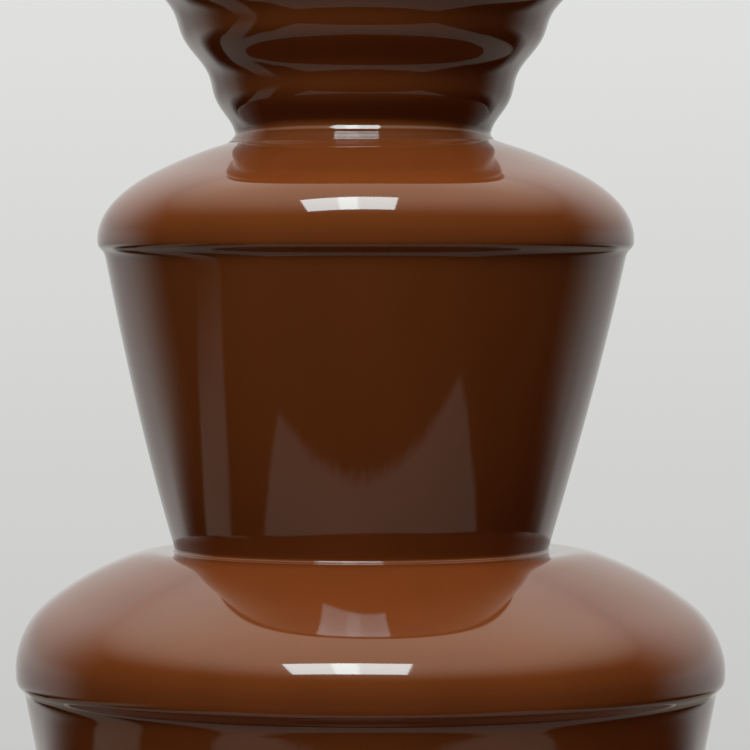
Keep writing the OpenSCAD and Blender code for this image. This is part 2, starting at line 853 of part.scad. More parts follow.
module wiring() {
    wall_gap = 11;
    lead_r = skirt_r - wall_gap;
    floor_gap = 13;
    lead_z = pan_z + floor_gap;
    inlet_tail = rear_y - inlet_depth - inlet_tail_l - part_gap;
    switch_tail = fascia_y + switch_depth + part_gap;
    thermostat_tail = fascia_back + thermostat_size[1] + part_gap;
    heater_end = polar(heater_r, 90 - heater_end_angle, heater_z - terminal_l - part_gap);
    far_heater_end = [-heater_end[0], heater_end[1], heater_end[2]];
    low_turn = control_z - 14;
    over_gears = high_plate_z + gear_plate_t + gear_screw_head_h + 4;
    motor_tab = [motor_at[0], motor_at[1] - motor_d / 2 - part_gap, pan_z + 16];
    out = [0, 1, 0];
    in = [0, -1, 0];
    up = [0, 0, -1];
    end_l = 8;
    inlet_to_switch = concat(
        reversed(straight_in([7, inlet_tail, rear_z + 2], in, end_l)),
        [[22, lead_r - 28, low_turn], polar(lead_r - 8, 45, lead_z + 8)],
        [polar(lead_r, 20, lead_z), polar(lead_r, -20, lead_z), polar(lead_r - 6, -42, lead_z + 4)],
        [[rocker_x + 6, -68, control_z - 9]],
        straight_in([rocker_x + 3, switch_tail, control_z - 5], out, end_l)
    );
    inlet_to_thermostat = concat(
        reversed(straight_in([-7, inlet_tail, rear_z + 2], in, end_l)),
        [[-22, lead_r - 28, low_turn], polar(lead_r - 8, 135, lead_z + 8)],
        [polar(lead_r, 160, lead_z), polar(lead_r, 200, lead_z), polar(lead_r - 6, 222, lead_z + 4)],
        [[knob_x - 4, -66, control_z - 10]],
        straight_in([knob_x, thermostat_tail, control_z - 6], out, end_l)
    );
    switch_to_motor = concat(
        reversed(straight_in([rocker_x - 3, switch_tail, control_z + 4], out, end_l)),
        [[rocker_x - 4, -66, control_z - 3], [motor_at[0] + 4, -50, pan_z + 24]],
        [[motor_at[0] + 1, -20, pan_z + 17]],
        straight_in(motor_tab, in, end_l)
    );
    thermostat_to_heater = concat(
        reversed(straight_in([knob_x - 8, thermostat_tail, control_z + 8], out, end_l)),
        [[-45, -60, over_gears], [-47, -20, over_gears], [-46, 10, over_gears]],
        [[far_heater_end[0] - 20, heater_end[1] - 16, over_gears - 5]],
        straight_in(far_heater_end, up, end_l)
    );
    inlet_to_heater = concat(
        reversed(straight_in([0, inlet_tail, rear_z - 2], in, end_l)),
        [[heater_end[0] - 3, heater_end[1] + 3, heater_end[2] - 14]],
        straight_in(heater_end, up, end_l)
    );
    routes = [
        inlet_to_switch, inlet_to_thermostat, switch_to_motor, thermostat_to_heater, inlet_to_heater
    ];
    color([0.75, 0.72, 0.68])
        for (route = routes) sweep(spline(route, 3), lead_d);
}

// Motor and gearbox

module at_motor() {
    translate(motor_at) children();
}

module motor_can() {
    boss_h = 1.5;
    can_bottom = low_plate_z - motor_l;
    slot_r = motor_d / 2 - motor_slot[0];
    outline = rounded_line([
        [0, can_bottom],
        [motor_d / 2, can_bottom],
        [motor_d / 2, low_plate_z],
        [motor_boss_d / 2, low_plate_z],
        [motor_boss_d / 2, low_plate_z + boss_h],
        [0, low_plate_z + boss_h]
    ], [0, 3, 0, 0, 0, 0]);
    color([0.62, 0.63, 0.65])
        at_motor()
            difference() {
                revolve(outline);
                rod(motor_shaft_d + 2 * run, can_bottom + motor_end_t, inf);
                for (i = [0:3])
                    rotate(45 + 90 * i)
                        translate([slot_r, -motor_slot[1] / 2, can_bottom + motor_slot_z])
                            cube([2 * motor_slot[0], motor_slot[1], motor_slot[2]]);
            }
}

module motor_shaft() {
    foot = low_plate_z - motor_l + motor_end_t + part_gap;
    color([0.75, 0.75, 0.78]) at_motor() rod(motor_shaft_d, foot, gear_z + stage_h - foot);
}

module motor_pinion() {
    color([0.82, 0.68, 0.36])
        at_motor()
            translate([0, 0, gear_z])
                rotate(motor_angle + 180 + 180 / pinion_teeth)
                    spur_gear(pinion_teeth, stage_h, motor_shaft_d);
}

module idler_gear() {
    side_gap = 0.5;
    color([0.9, 0.9, 0.86])
        translate([idler_at[0], idler_at[1], gear_z])
            difference() {
                union() {
                    translate([0, 0, side_gap])
                        rotate(motor_angle) toothed_disc(idler_teeth, stage_h - 2 * side_gap);
                    translate([0, 0, stage_h - 2 * side_gap])
                        rotate(180 + 180 / idler_pinion_teeth)
                            toothed_disc(idler_pinion_teeth, stage_h + stage_gap);
                }
                rod(idler_pin_d + 2 * run, -1, inf);
            }
}

module idler_pin() {
    color([0.75, 0.75, 0.78])
        translate(idler_at) rod(idler_pin_d, low_plate_z, high_plate_z + gear_plate_t - low_plate_z);
}

module output_gear() {
    color([0.9, 0.9, 0.86]) translate([0, 0, output_z]) spur_gear(output_teeth, stage_h, shaft_d);
}

module gear_plate(z) {
    edge = 9;
    color([0.7, 0.71, 0.73])
        translate([0, 0, z])
            difference() {
                linear_extrude(height = gear_plate_t)
                    hull() for (p = pillar_at) translate(p) circle(r = edge, $fn = 32);
                for (p = pillar_at) translate(p) rod(gear_screw_d + 2 * hole_gap, -1, gear_plate_t + 2);
                rod(bearing_d, -1, gear_plate_t + 2);
                translate(idler_at) rod(idler_pin_d, -1, gear_plate_t + 2);
                children();
            }
}

module gearbox_lower_plate() {
    gear_plate(low_plate_z) at_motor() rod(motor_boss_d + 2 * hole_gap, -1, gear_plate_t + 2);
}

module gearbox_upper_plate() {
    gear_plate(high_plate_z);
}

module gearbox_pillars() {
    color([0.66, 0.67, 0.7])
        for (p = pillar_at)
            translate(p)
                difference() {
                    rod(pillar_d, pan_z, low_plate_z - pan_z);
                    rod(gear_screw_d, pan_z - 1, inf);
                }
}

module gearbox_spacers() {
    from = low_plate_z + gear_plate_t;
    color([0.66, 0.67, 0.7])
        for (p = pillar_at)
            translate(p) ring(spacer_d / 2, gear_screw_d / 2 + hole_gap, from, high_plate_z - from);
}

module gearbox_screws() {
    head_d = 7;
    bite = 10;
    socket = [3, 1.4];
    under_head = high_plate_z + gear_plate_t;
    color([0.75, 0.75, 0.77])
        for (p = pillar_at)
            translate(p) {
                rod(gear_screw_d, low_plate_z - bite, under_head - low_plate_z + bite);
                difference() {
                    rod(head_d, under_head, gear_screw_head_h);
                    translate([0, 0, under_head + gear_screw_head_h - socket[1]])
                        cylinder(h = 2 * socket[1], d = socket[0], $fn = 6);
                }
            }
}

module shaft_bearings() {
    color([0.78, 0.62, 0.32])
        for (z = [low_plate_z, high_plate_z]) ring(bearing_d / 2, shaft_d / 2 + run, z, gear_plate_t);
}

module drive_shaft() {
    below = 2;
    overlap = 0.5;
    color([0.78, 0.78, 0.8]) {
        rod(shaft_d, low_plate_z - below, hex_z + overlap - low_plate_z + below);
        translate([0, 0, hex_z]) cylinder(h = drive_hex_l, d = shaft_d, $fn = 6);
    }
}

// Bowl, hub and heater

bowl_line = rounded_line([
    [hub_d / 2 + hole_gap, floor_z],
    [bowl_foot_r, floor_z],
    [bowl_r - rim_roll, rim_z - rim_roll],
    [bowl_r, rim_z],
    [bowl_r + rim_roll, rim_z - rim_roll]
], [0, bowl_corner, rim_corner, rim_corner / 2, 0]);

module bowl() {
    color([0.8, 0.8, 0.82]) revolve(sheet_outline(bowl_line, -bowl_t));
}

module bowl_gasket() {
    gasket_w = 12;
    hole_d = bowl_stud_d + 2 * hole_gap;
    color([0.75, 0.3, 0.22])
        difference() {
            ring(stud_circle_r + gasket_w / 2, stud_circle_r - gasket_w / 2, seat_z, gasket_t);
            for (a = bowl_stud_angles)
                translate(polar(stud_circle_r, a, 0)) rod(hole_d, seat_z - 1, gasket_t + 2);
        }
}

module bowl_studs() {
    color([0.75, 0.75, 0.77])
        for (a = bowl_stud_angles)
            translate(polar(stud_circle_r, a, 0)) rod(bowl_stud_d, bowl_under - bowl_stud_l, bowl_stud_l);
}

module bowl_nuts() {
    nut_d = 8;
    color([0.75, 0.75, 0.77])
        for (a = bowl_stud_angles)
            translate(polar(stud_circle_r, a, 0))
                hex_nut(nut_d, seat_z - sheet_t - bowl_nut_h, bowl_nut_h, bowl_stud_d);
}

module hub_bush() {
    below = hub_nut_h + hub_thread_spare;
    color([0.8, 0.68, 0.38])
        difference() {
            union() {
                rod(hub_d, bowl_under - below, below + bowl_t + hub_flange_h / 2);
                rod(hub_flange_d, floor_z, hub_flange_h);
            }
            rod(shaft_d + 2 * run, 0, inf);
            rod(seal_d, floor_z + hub_flange_h - seal_h, inf);
        }
}

module hub_nut() {
    color([0.8, 0.68, 0.38]) hex_nut(hub_nut_d, bowl_under - hub_nut_h, hub_nut_h, hub_d);
}

module shaft_seal() {
    lip_gap = 0.1;
    color([0.55, 0.14, 0.1])
        ring(seal_d / 2, shaft_d / 2 + lip_gap, floor_z + hub_flange_h - seal_h, seal_h);
}

module heat_spreader() {
    color([0.82, 0.83, 0.85]) ring(spreader_out_r, spreader_in_r, spreader_z, spreader_t);
}

module heating_element() {
    color([0.4, 0.4, 0.42]) {
        translate([0, 0, heater_z])
            rotate_extrude(angle = 360 - 2 * heater_end_angle, start = 90 + heater_end_angle)
                translate([heater_r, 0]) circle(r = heater_tube_r);
        for (a = [90 - heater_end_angle, 90 + heater_end_angle])
            translate(polar(heater_r, a, heater_z - terminal_l))
                rod(terminal_d, 0, terminal_l + terminal_cap);
    }
}

module heater_clips() {
    half = heater_tube_r + clip_t + part_gap;
    low = heater_z - half;
    color([0.72, 0.73, 0.75])
        for (a = clip_angles)
            rotate(a)
                translate([heater_r, 0, 0])
                    difference() {
                        translate([-half, -clip_w / 2, low]) cube([2 * half, clip_w, spreader_z - low]);
                        translate([clip_t - half, -clip_w, low + clip_t])
                            cube([2 * (half - clip_t), 2 * clip_w, inf]);
                    }
}

module thermal_cutout() {
    tab = [4, 0.8, 8];
    tab_x = 5;
    color([0.2, 0.2, 0.2])
        translate(cutout_at) {
            rod(cutout_d, spreader_z - cutout_h, cutout_h);
            for (x = [-tab_x, tab_x])
                translate([x - tab[0] / 2, -tab[1] / 2, spreader_z - cutout_h - tab[2] + 1]) cube(tab);
        }
}

// Tower

post_angles = [for (i = [0:2]) 30 + 120 * i];

module tower_posts() {
    color([0.78, 0.78, 0.8])
        for (a = post_angles)
            translate(polar(tube_r - tube_t / 2, a, 0)) rod(post_d, floor_z, post_h);
}

module tower_tube() {
    notch_w = post_d + 2 * slip;
    color([0.82, 0.82, 0.84])
        difference() {
            ring(tube_r, bore_r, tube_z, tube_top - tube_z);
            for (a = post_angles)
                rotate(a)
                    translate([bore_r - post_d, -notch_w / 2, tube_z - 1])
                        cube([2 * post_d, notch_w, floor_z + post_h - tube_z + 1]);
            for (a = post_angles)
                rotate(a + 60)
                    translate([0, 0, tube_z])
                        rotate([0, 90, 0]) {
                            translate([-port_h + port_w / 2, 0, 0]) rod(port_w, 0, inf);
                            translate([-port_h + port_w / 2, -port_w / 2, 0]) cube([port_h, port_w, inf]);
                        }
        }
}

lower_seat_z = lower_lip + lower_rise - collar_h;
middle_seat_z = middle_lip + middle_rise - collar_h;

module lower_seat_ring() {
    flange = spigot_w + ring_w;
    color([0.25, 0.25, 0.26])
        revolve([
            [tube_r, lower_seat_z - ring_h],
            [tube_r + flange, lower_seat_z - ring_h],
            [tube_r + flange, lower_seat_z],
            [tube_r + spigot_w, lower_seat_z],
            [tube_r + spigot_w, lower_seat_z + spigot_h],
            [tube_r, lower_seat_z + spigot_h]
        ]);
}

module middle_seat_ring() {
    color([0.25, 0.25, 0.26]) ring(tube_r + ring_w, tube_r, middle_seat_z - ring_h, ring_h);
}

// Tiers: the line of the upper face, from the collar's bottom over the dome to the edge

function dome_line(collar_r, edge_r, lip, rise, slope, reach, shoulder) =
    let (start = [collar_r + collar_bend, lip + rise])
    let (first = reach * (edge_r - start[0]))
    bezier(start, start + first * [1, -slope], [edge_r, lip + shoulder], [edge_r, lip + hem], 18);

function tier_line(collar_r, lip, rise, dome) = concat(
    [[collar_r, lip + rise - collar_h]],
    arc([collar_r + collar_bend, lip + rise - collar_bend], collar_bend, 180, -82, 5),
    dome,
    [[dome[len(dome) - 1][0], lip]]
);

lower_dome = dome_line(
    lower_collar_r, lower_tier_d / 2, lower_lip, lower_rise, lower_fall_slope, lower_reach, lower_shoulder);
middle_dome = dome_line(
    middle_collar_r, middle_tier_d / 2, middle_lip, middle_rise, middle_fall_slope, middle_reach,
    middle_shoulder);

module lower_tier() {
    color([0.8, 0.8, 0.82])
        revolve(sheet_outline(tier_line(lower_collar_r, lower_lip, lower_rise, lower_dome), -tier_t));
}

module middle_tier() {
    color([0.8, 0.8, 0.82])
        revolve(sheet_outline(tier_line(middle_collar_r, middle_lip, middle_rise, middle_dome), -tier_t));
}

cup_line = bezier(
    [bore_r, tube_top + cup_floor],
    [bore_r, tube_top + cup_throat],
    [crown_d / 2 - cup_lip[0], crown_rim - cup_lip[1]],
    [crown_d / 2, crown_rim],
    14
);

module crown() {
    sleeve_r = tube_r + slip;
    color([0.8, 0.8, 0.82])
        revolve(concat(
            [[sleeve_r, tube_top - sleeve_h], [sleeve_r, tube_top], [bore_r, tube_top]],
            cup_line,
            reversed(beside(cup_line, -tier_t)),
            [[sleeve_r + tier_t, tube_top + cup_floor], [sleeve_r + tier_t, tube_top - sleeve_h]]
        ));
}

// Auger

module auger_core() {
    socket_d = shaft_d + 2 * slip;
    nose_h = 8;
    outline = rounded_line([
        [0, auger_z],
        [core_r, auger_z],
        [core_r, auger_top - nose_h],
        [core_r / 2, auger_top],
        [0, auger_top]
    ], [0, 0, 6, 1.5, 0]);
    color([0.88, 0.87, 0.83])
        difference() {
            revolve(outline);
            translate([0, 0, auger_z - 1]) cylinder(h = hex_top - auger_z + 1, d = socket_d, $fn = 6);
            rod(socket_d, auger_z - 1, hex_z - auger_z + 2);
        }
}

// A strip of even thickness that winds round the core
module auger_flight() {
    turns = (flight_top - flight_z - flight_t) / auger_pitch;
    steps = ceil(turns * rings_per_turn);
    r_in = (core_r + skin_gap) / cos(180 / rings_per_turn);
    section = [[r_in, 0], [flight_r, 0], [flight_r, flight_t], [r_in, flight_t]];
    points = [
        for (i = [0:steps], p = section)
            let (a = -360 * turns * i / steps)
            [p[0] * cos(a), p[0] * sin(a), flight_z + p[1] + auger_pitch * turns * i / steps]
    ];
    walls = [
        for (i = [0:steps - 1], k = [0:3])
            let (a = 4 * i + k, b = 4 * i + (k + 1) % 4)
            each [[a, b, b + 4], [a, b + 4, a + 4]]
    ];
    last = 4 * steps;
    ends = [[0, 2, 1], [0, 3, 2], [last, last + 1, last + 2], [last, last + 2, last + 3]];
    color([0.88, 0.87, 0.83]) polyhedron(points = points, faces = concat(walls, ends));
}

// Chocolate

// The outer line of a falling curtain from top to landing, drawn in faster as it falls where bow < 1
function curtain_line(top, landing, bow, ripple = 0) = [
    for (i = [0:curtain_steps])
        let (u = i / curtain_steps, z = top[1] + (landing[1] - top[1]) * u)
        let (fade = sin(90 * min(1, 5 * u)) * sin(90 * min(1, 4 * (1 - u))))
        [
            top[0] - (top[0] - landing[0]) * (bow * u + (1 - bow) * u * u)
                + ripple * fade * cos(360 * (z - landing[1] - ripple_start) / ripple_step),
            z
        ]
];

// The rounded edge over which the film turns into the curtain
function bead_line(edge_r, lip) =
    arc([edge_r + film_t - bead_r, lip + hem - 1], bead_r, 0, -bead_turn, 6);

// Film on a dome and the curtain that falls from its edge, as one closed outline
function flow_outline(dome, lip, curtain) =
    let (edge_r = dome[len(dome) - 1][0], top = beside(dome, film_t), under = beside(dome, skin_gap))
    let (inner = beside(curtain, -curtain_t))
    concat(
        top,
        bead_line(edge_r, lip),
        curtain,
        reversed(inner),
        [
            [inner[0][0], lip - skin_gap],
            [edge_r + skin_gap, lip - skin_gap]
        ],
        reversed(under)
    );

// Height of a dome's upper face at a radius, on the straight between the two nearest points
function dome_z(dome, r) =
    let (i = max([for (k = [0:len(dome) - 2]) dome[k][0] <= r ? k : 0]))
    let (t = (r - dome[i][0]) / (dome[i + 1][0] - dome[i][0]))
    dome[i][1] + t * (dome[i + 1][1] - dome[i][1]);

chocolate = [0.36, 0.16, 0.07];
film_slope_factor = 1.12;
film_rise = film_t * film_slope_factor + part_gap;

module lower_chocolate() {
    top = [lower_tier_d / 2, lower_lip - bead];
    curtain = curtain_line(top, [lower_landing_r, pool_z + part_gap], tier_bow);
    color(chocolate) revolve(flow_outline(lower_dome, lower_lip, curtain));
}

module middle_chocolate() {
    top = [middle_tier_d / 2, middle_lip - bead];
    landing = [middle_landing_r, dome_z(lower_dome, middle_landing_r - curtain_t) + film_rise];
    curtain = curtain_line(top, landing, tier_bow);
    color(chocolate) revolve(flow_outline(middle_dome, middle_lip, curtain));
}

module crown_chocolate() {
    landing = [crown_landing_r, dome_z(middle_dome, crown_landing_r - curtain_t) + film_rise];
    edge_r = crown_d / 2;
    bead_at = [edge_r + crown_overhang - crown_bead_r, crown_rim + film_t - crown_bead_r];
    edge = arc(bead_at, crown_bead_r, 90, -90 - crown_bead_turn, 10);
    curtain = curtain_line(edge[len(edge) - 1], landing, crown_bow, ripple_h);
    inner = beside(curtain, -curtain_t);
    fill_z = tube_top + cup_floor + 1;
    under = beside(cup_line, skin_gap);
    cup = [for (p = under) if (p[1] > fill_z) p];
    swell = bezier(
        [0, crown_rim + crown_swell],
        [edge_r * swell_reach, crown_rim + crown_swell],
        [edge_r * swell_end, crown_rim + film_t],
        edge[0],
        12
    );
    color(chocolate)
        revolve(concat(
            [[0, fill_z], [bore_r - part_gap, fill_z]],
            cup,
            [[edge_r + skin_gap, crown_rim]],
            inner,
            reversed(curtain),
            reversed(edge),
            reversed(swell)
        ));
}

module bowl_chocolate() {
    hole_r = tube_r + post_d / 2 + 1;
    under = beside(bowl_line, skin_gap);
    bed = [for (p = under) if (p[0] > hole_r && p[1] < pool_z - part_gap && p[0] < bowl_r - rim_roll) p];
    last = bed[len(bed) - 1];
    lean = unit([bowl_r - rim_roll - bowl_foot_r, bowl_depth - rim_roll]);
    shore = last + lean * (pool_z - last[1]) / lean[1];
    color(chocolate) revolve(concat([[hole_r, floor_z + skin_gap]], bed, [shore, [hole_r, pool_z]]));
}

base_plate();
base_housing();
housing_screws();
foot_nuts();
control_fascia();
thermostat_body();
sensor_capillary();
switch_body();
pilot_lamp();
rear_panel();
power_inlet();
inlet_pins();
wiring();
motor_can();
gearbox_lower_plate();
gearbox_upper_plate();
gearbox_pillars();
gearbox_spacers();
gearbox_screws();
shaft_bearings();
idler_pin();
bowl();
bowl_gasket();
bowl_studs();
bowl_nuts();
hub_bush();
hub_nut();
shaft_seal();
heat_spreader();
heating_element();
heater_clips();
thermal_cutout();
tower_posts();
bowl_chocolate();
drive_shaft();
output_gear();
auger_core();
auger_flight();
idler_gear();
motor_shaft();
motor_pinion();
heat_knob();
knob_spindle();
motor_rocker();
for (i = [1:3]) foot_pad(i - 1);
for (i = [1:3]) foot_stud(i - 1);
tower_tube();
lower_seat_ring();
middle_seat_ring();
lower_tier();
lower_chocolate();
middle_tier();
middle_chocolate();
crown();
crown_chocolate();
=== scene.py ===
# %% [markdown]
# A running chocolate fountain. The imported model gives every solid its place. This lesson dresses
# it: the flowing chocolate is worked out as smooth surfaces, each solid gets the finish of its
# real material, and a small studio is set up round it.

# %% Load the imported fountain
import json
import math

import bpy
import numpy as np
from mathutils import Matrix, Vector


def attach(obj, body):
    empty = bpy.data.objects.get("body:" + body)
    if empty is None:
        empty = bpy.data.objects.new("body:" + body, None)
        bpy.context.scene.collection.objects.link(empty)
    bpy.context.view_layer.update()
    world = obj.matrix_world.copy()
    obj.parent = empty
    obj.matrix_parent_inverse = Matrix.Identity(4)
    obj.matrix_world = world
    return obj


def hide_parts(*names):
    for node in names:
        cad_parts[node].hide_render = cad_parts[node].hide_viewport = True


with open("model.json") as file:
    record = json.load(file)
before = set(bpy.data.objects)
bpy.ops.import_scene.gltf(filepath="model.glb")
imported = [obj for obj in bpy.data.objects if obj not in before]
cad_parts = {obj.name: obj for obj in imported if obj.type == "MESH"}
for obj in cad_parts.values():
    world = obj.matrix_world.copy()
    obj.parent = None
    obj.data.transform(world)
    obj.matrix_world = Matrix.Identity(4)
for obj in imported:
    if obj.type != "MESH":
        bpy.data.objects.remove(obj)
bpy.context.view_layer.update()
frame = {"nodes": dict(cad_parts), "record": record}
scene = bpy.context.scene
MM = 0.001

# %% [markdown]
# The picture is a close view with a long lens, level with the middle tier's edge and looking down
# by less than two degrees. A short lens from nearby would show the same width, but it would bow the
# tiers' edges. So the lens and the distance are set first, before anything is judged.

# %% Camera
PICTURE_PX, MM_PER_PX, SENSOR_MM = 750, 0.2313, 36.0
EYE_DISTANCE, EYE_HEIGHT, EYE_SIDE, EYE_ROW = 1000.0, 332.6, 2.1, 252
focal_px = EYE_DISTANCE / MM_PER_PX
pitch = math.atan((PICTURE_PX / 2 - EYE_ROW) / focal_px)
lens = bpy.data.cameras.new("photo_camera")
lens.sensor_width = SENSOR_MM
lens.lens = SENSOR_MM * focal_px / PICTURE_PX
camera = bpy.data.objects.new("photo_camera", lens)
camera.location = (EYE_SIDE * MM, -EYE_DISTANCE * MM, EYE_HEIGHT * MM)
camera.rotation_euler = (math.pi / 2 - pitch, 0, 0)
scene.collection.objects.link(camera)
scene.camera = camera
print(f"lens {lens.lens:.0f} mm, looking down {math.degrees(pitch):.2f} degrees")

# %% [markdown]
# Everything that flows here is round, so each piece is a profile carried round the tower's axis.
# Blender's Screw modifier could turn a profile too, but then every ring would be a perfect circle.
# Here one function joins any grid of points with four-sided faces. Where a profile starts and ends
# on the axis, its two ends are single points, so no hole and no doubled corner is left there.


# %% A mesh from a grid
def new_piece(name, corners, flat, size):
    """Smooth mesh from points in millimetres, the faces' corners in one row, and their counts."""
    mesh = bpy.data.meshes.new(name)
    mesh.vertices.add(len(corners))
    mesh.vertices.foreach_set("co", (corners * MM).astype(np.float32).ravel())
    mesh.loops.add(len(flat))
    mesh.loops.foreach_set("vertex_index", flat.astype(np.int32))
    mesh.polygons.add(len(size))
    mesh.polygons.foreach_set("loop_start", (np.cumsum(size) - size).astype(np.int32))
    mesh.polygons.foreach_set("loop_total", size.astype(np.int32))
    mesh.polygons.foreach_set("use_smooth", np.ones(len(size), bool))
    mesh.update(calc_edges=True)
    assert not mesh.validate(), name
    piece = bpy.data.objects.new(name, mesh)
    scene.collection.objects.link(piece)
    print(name, "triangles:", int((size - 2).sum()))
    return piece


def grid_faces(grid, on_axis):
    """Corners and faces of a grid of points, rows along the profile and columns round the axis.

    Columns always close. Rows close into a ring, or end in one point each where on_axis is true.
    """
    rows, cols = grid.shape[:2]
    i = np.arange(rows - 1 if on_axis else rows)[:, None]
    j = np.arange(cols)[None, :]
    here, there = i * cols, ((i + 1) % rows) * cols
    right = (j + 1) % cols
    quads = np.stack([here + j, there + j, there + right, here + right], -1).reshape(-1, 4)
    corners = grid.reshape(-1, 3)
    if not on_axis:
        return corners, quads.ravel(), np.full(len(quads), 4)
    corners = corners[cols - 1:len(corners) - cols + 1]
    quads = np.clip(quads - (cols - 1), 0, len(corners) - 1)
    top, low = quads[:cols][:, [0, 1, 2]], quads[-cols:][:, [0, 1, 3]]
    flat = np.concatenate([top.ravel(), quads[cols:-cols].ravel(), low.ravel()])
    size = np.repeat([3, 4, 3], [cols, len(quads) - 2 * cols, cols])
    return corners, flat, size


def piece_from_grids(name, grids, on_axis):
    """One piece of one or more grids, each a closed surface of its own."""
    corners, flat, size = zip(*(grid_faces(grid, on_axis) for grid in grids))
    first = np.cumsum([0] + [len(points) for points in corners])
    flat = np.concatenate([loop + start for loop, start in zip(flat, first)])
    return new_piece(name, np.concatenate(corners), flat, np.concatenate(size))


# %% [markdown]
# The profiles use a few plain curves. A cubic Bezier gives the domes, which are the same curves as
# the metal under them. A parallel line gives the film of chocolate its thickness, and a rounded
# corner gives the little fillet where a falling curtain runs into the film below.


# %% Curves for the profiles
def bezier(p0, p1, p2, p3, n):
    """Cubic curve: the four points weighted by the terms of (s + t) cubed."""
    t = np.linspace(0, 1, n)[:, None]
    s = 1 - t
    p0, p1, p2, p3 = (np.asarray(p, float) for p in (p0, p1, p2, p3))
    return s ** 3 * p0 + 3 * s * s * t * p1 + 3 * s * t * t * p2 + t ** 3 * p3


def normals(line):
    """Unit normals on the left of a line, from the mean direction at each point."""
    along = np.gradient(line, axis=0)
    along /= np.linalg.norm(along, axis=1)[:, None]
    return np.stack([-along[:, 1], along[:, 0]], 1)


def rounded_corner(p0, p1, p2, radius, n):
    """Arc that touches the two lines p0 to p1 and p1 to p2 at equal distance from p1."""
    u, v = (p0 - p1) / np.linalg.norm(p0 - p1), (p2 - p1) / np.linalg.norm(p2 - p1)
    half = math.acos(float(u @ v)) / 2
    centre = p1 + (u + v) / np.linalg.norm(u + v) * radius / math.sin(half)
    start = p1 + u * radius / math.tan(half) - centre
    end = p1 + v * radius / math.tan(half) - centre
    a0, a1 = math.atan2(start[1], start[0]), math.atan2(end[1], end[0])
    turn = (a1 - a0 + math.pi) % (2 * math.pi) - math.pi
    a = a0 + turn * np.linspace(0, 1, n)
    return centre + radius * np.stack([np.cos(a), np.sin(a)], 1)


def smooth(t):
    """Ramp from 0 to 1 that starts and ends level: 3 t squared less 2 t cubed."""
    t = np.clip(t, 0, 1)
    return t * t * (3 - 2 * t)


def eased(values, reach):
    """Values averaged over neighbours with a raised-cosine window, so that no kink is left."""
    window = np.hanning(2 * reach + 3)[1:-1]
    return np.convolve(np.pad(values, reach, mode="edge"), window / window.sum(), "valid")


# %% [markdown]
# The sizes below are those of the solids, in millimetres. SKIN is the gap that keeps chocolate and
# metal apart, CURTAIN a curtain's thickness, and HEM the height of a tier's upright edge. The
# film's upper face is the dome's own curve moved out by the film's depth, given at a few radii.
# Where a curtain lands, the film is pressed thin, and on the lower tier it swells outside that.

# %% Sizes of the flow
SKIN, CURTAIN, HEM = 0.05, 1.5, 2.5
LOWER = dict(collar=30.7, edge=80.0, lip=234.0, rise=31.0, slope=0.12, reach=0.62, shoulder=15.5,
             depth_at=(30, 43.5, 46, 50, 56, 76), depth=(0.5, 0.5, 1.5, 2.6, 2.5, 2.0))
MIDDLE = dict(collar=27.7, edge=60.0, lip=333.0, rise=25.0, slope=0.37, reach=0.57, shoulder=11.7,
              depth_at=(28, 31, 36, 42, 50), depth=(1.2, 1.2, 1.6, 1.75, 2.0))


def dome_curve(tier, n):
    """The tier's upper face: a cubic curve that leaves the collar at a slope and ends upright."""
    start = np.array([tier["collar"], tier["lip"] + tier["rise"]])
    reach = tier["reach"] * (tier["edge"] - tier["collar"])
    shoulder = (tier["edge"], tier["lip"] + tier["shoulder"])
    edge = (tier["edge"], tier["lip"] + HEM)
    return bezier(start, start + reach * np.array([1, -tier["slope"]]), shoulder, edge, n)


def film_top(tier):
    """Upper face of the film: the dome's curve moved out by the film's depth at each radius."""
    dome = dome_curve(tier, n=110)
    depth = eased(np.interp(dome[:, 0], tier["depth_at"], tier["depth"]), reach=8)
    return dome + depth[:, None] * normals(dome)


middle_film = film_top(MIDDLE)
lower_film = film_top(LOWER)
print("film edges at", middle_film[-1].round(2), lower_film[-1].round(2))

# %% [markdown]
# At a tier's edge the film rolls under before it lets go, and a small hollow follows where the
# curtain starts. That roll draws the pale and dark lines along the edge, because each lean of the
# surface mirrors another part of the room. So the edge is drawn by its lean: an angle that swells
# to a peak and dies away to the curtain's own slope, summed step by step into a line.


# %% The rolled edge and the falling curtain
def rolled_edge(start, lean_after, peak, at, width, length, n):
    """Line that leans in by an angle along its length: a bell-shaped swell on a smooth ramp.

    Each step goes in by the sine of the lean and down by its cosine.
    """
    s = np.linspace(0, length, n)
    lean = lean_after * smooth(s / at) + (peak - lean_after) * np.exp(-((s - at) / width) ** 2)
    lean -= lean[0] * (1 - s / length)
    lean = np.radians(lean)
    step = np.gradient(s)
    return start - np.stack([np.cumsum(np.sin(lean) * step), np.cumsum(np.cos(lean) * step)], 1)


def falling_curtain(top, landing, bow, n):
    """Line from edge to landing whose radius is a parabola in height; at bow 1 it is straight."""
    u = np.linspace(0, 1, n)[:, None]
    r = top[0] - (top[0] - landing[0]) * (bow * u + (1 - bow) * u * u)
    return np.concatenate([r, top[1] + (landing[1] - top[1]) * u], 1)


def height_on(bed, r):
    """Height of a bed's line at radius r."""
    return np.interp(r, bed[:, 0], bed[:, 1])


SUNK, ROWS_ABOVE = 0.08, 6


def curtain_foot(curtain, bed, radius, n):
    """The curtain cut short and turned out in a fillet that runs a hair under the bed's surface.

    A point a few rows above the curtain's end gives the direction in which it falls.
    """
    foot_r = curtain[-1][0]
    corner, ahead = (np.array([r, height_on(bed, r) - SUNK]) for r in (foot_r, foot_r + 2 * radius))
    arc = rounded_corner(curtain[-ROWS_ABOVE], corner, ahead, radius, n)
    return np.concatenate([curtain[curtain[:, 1] > arc[0][1] + SKIN], arc])


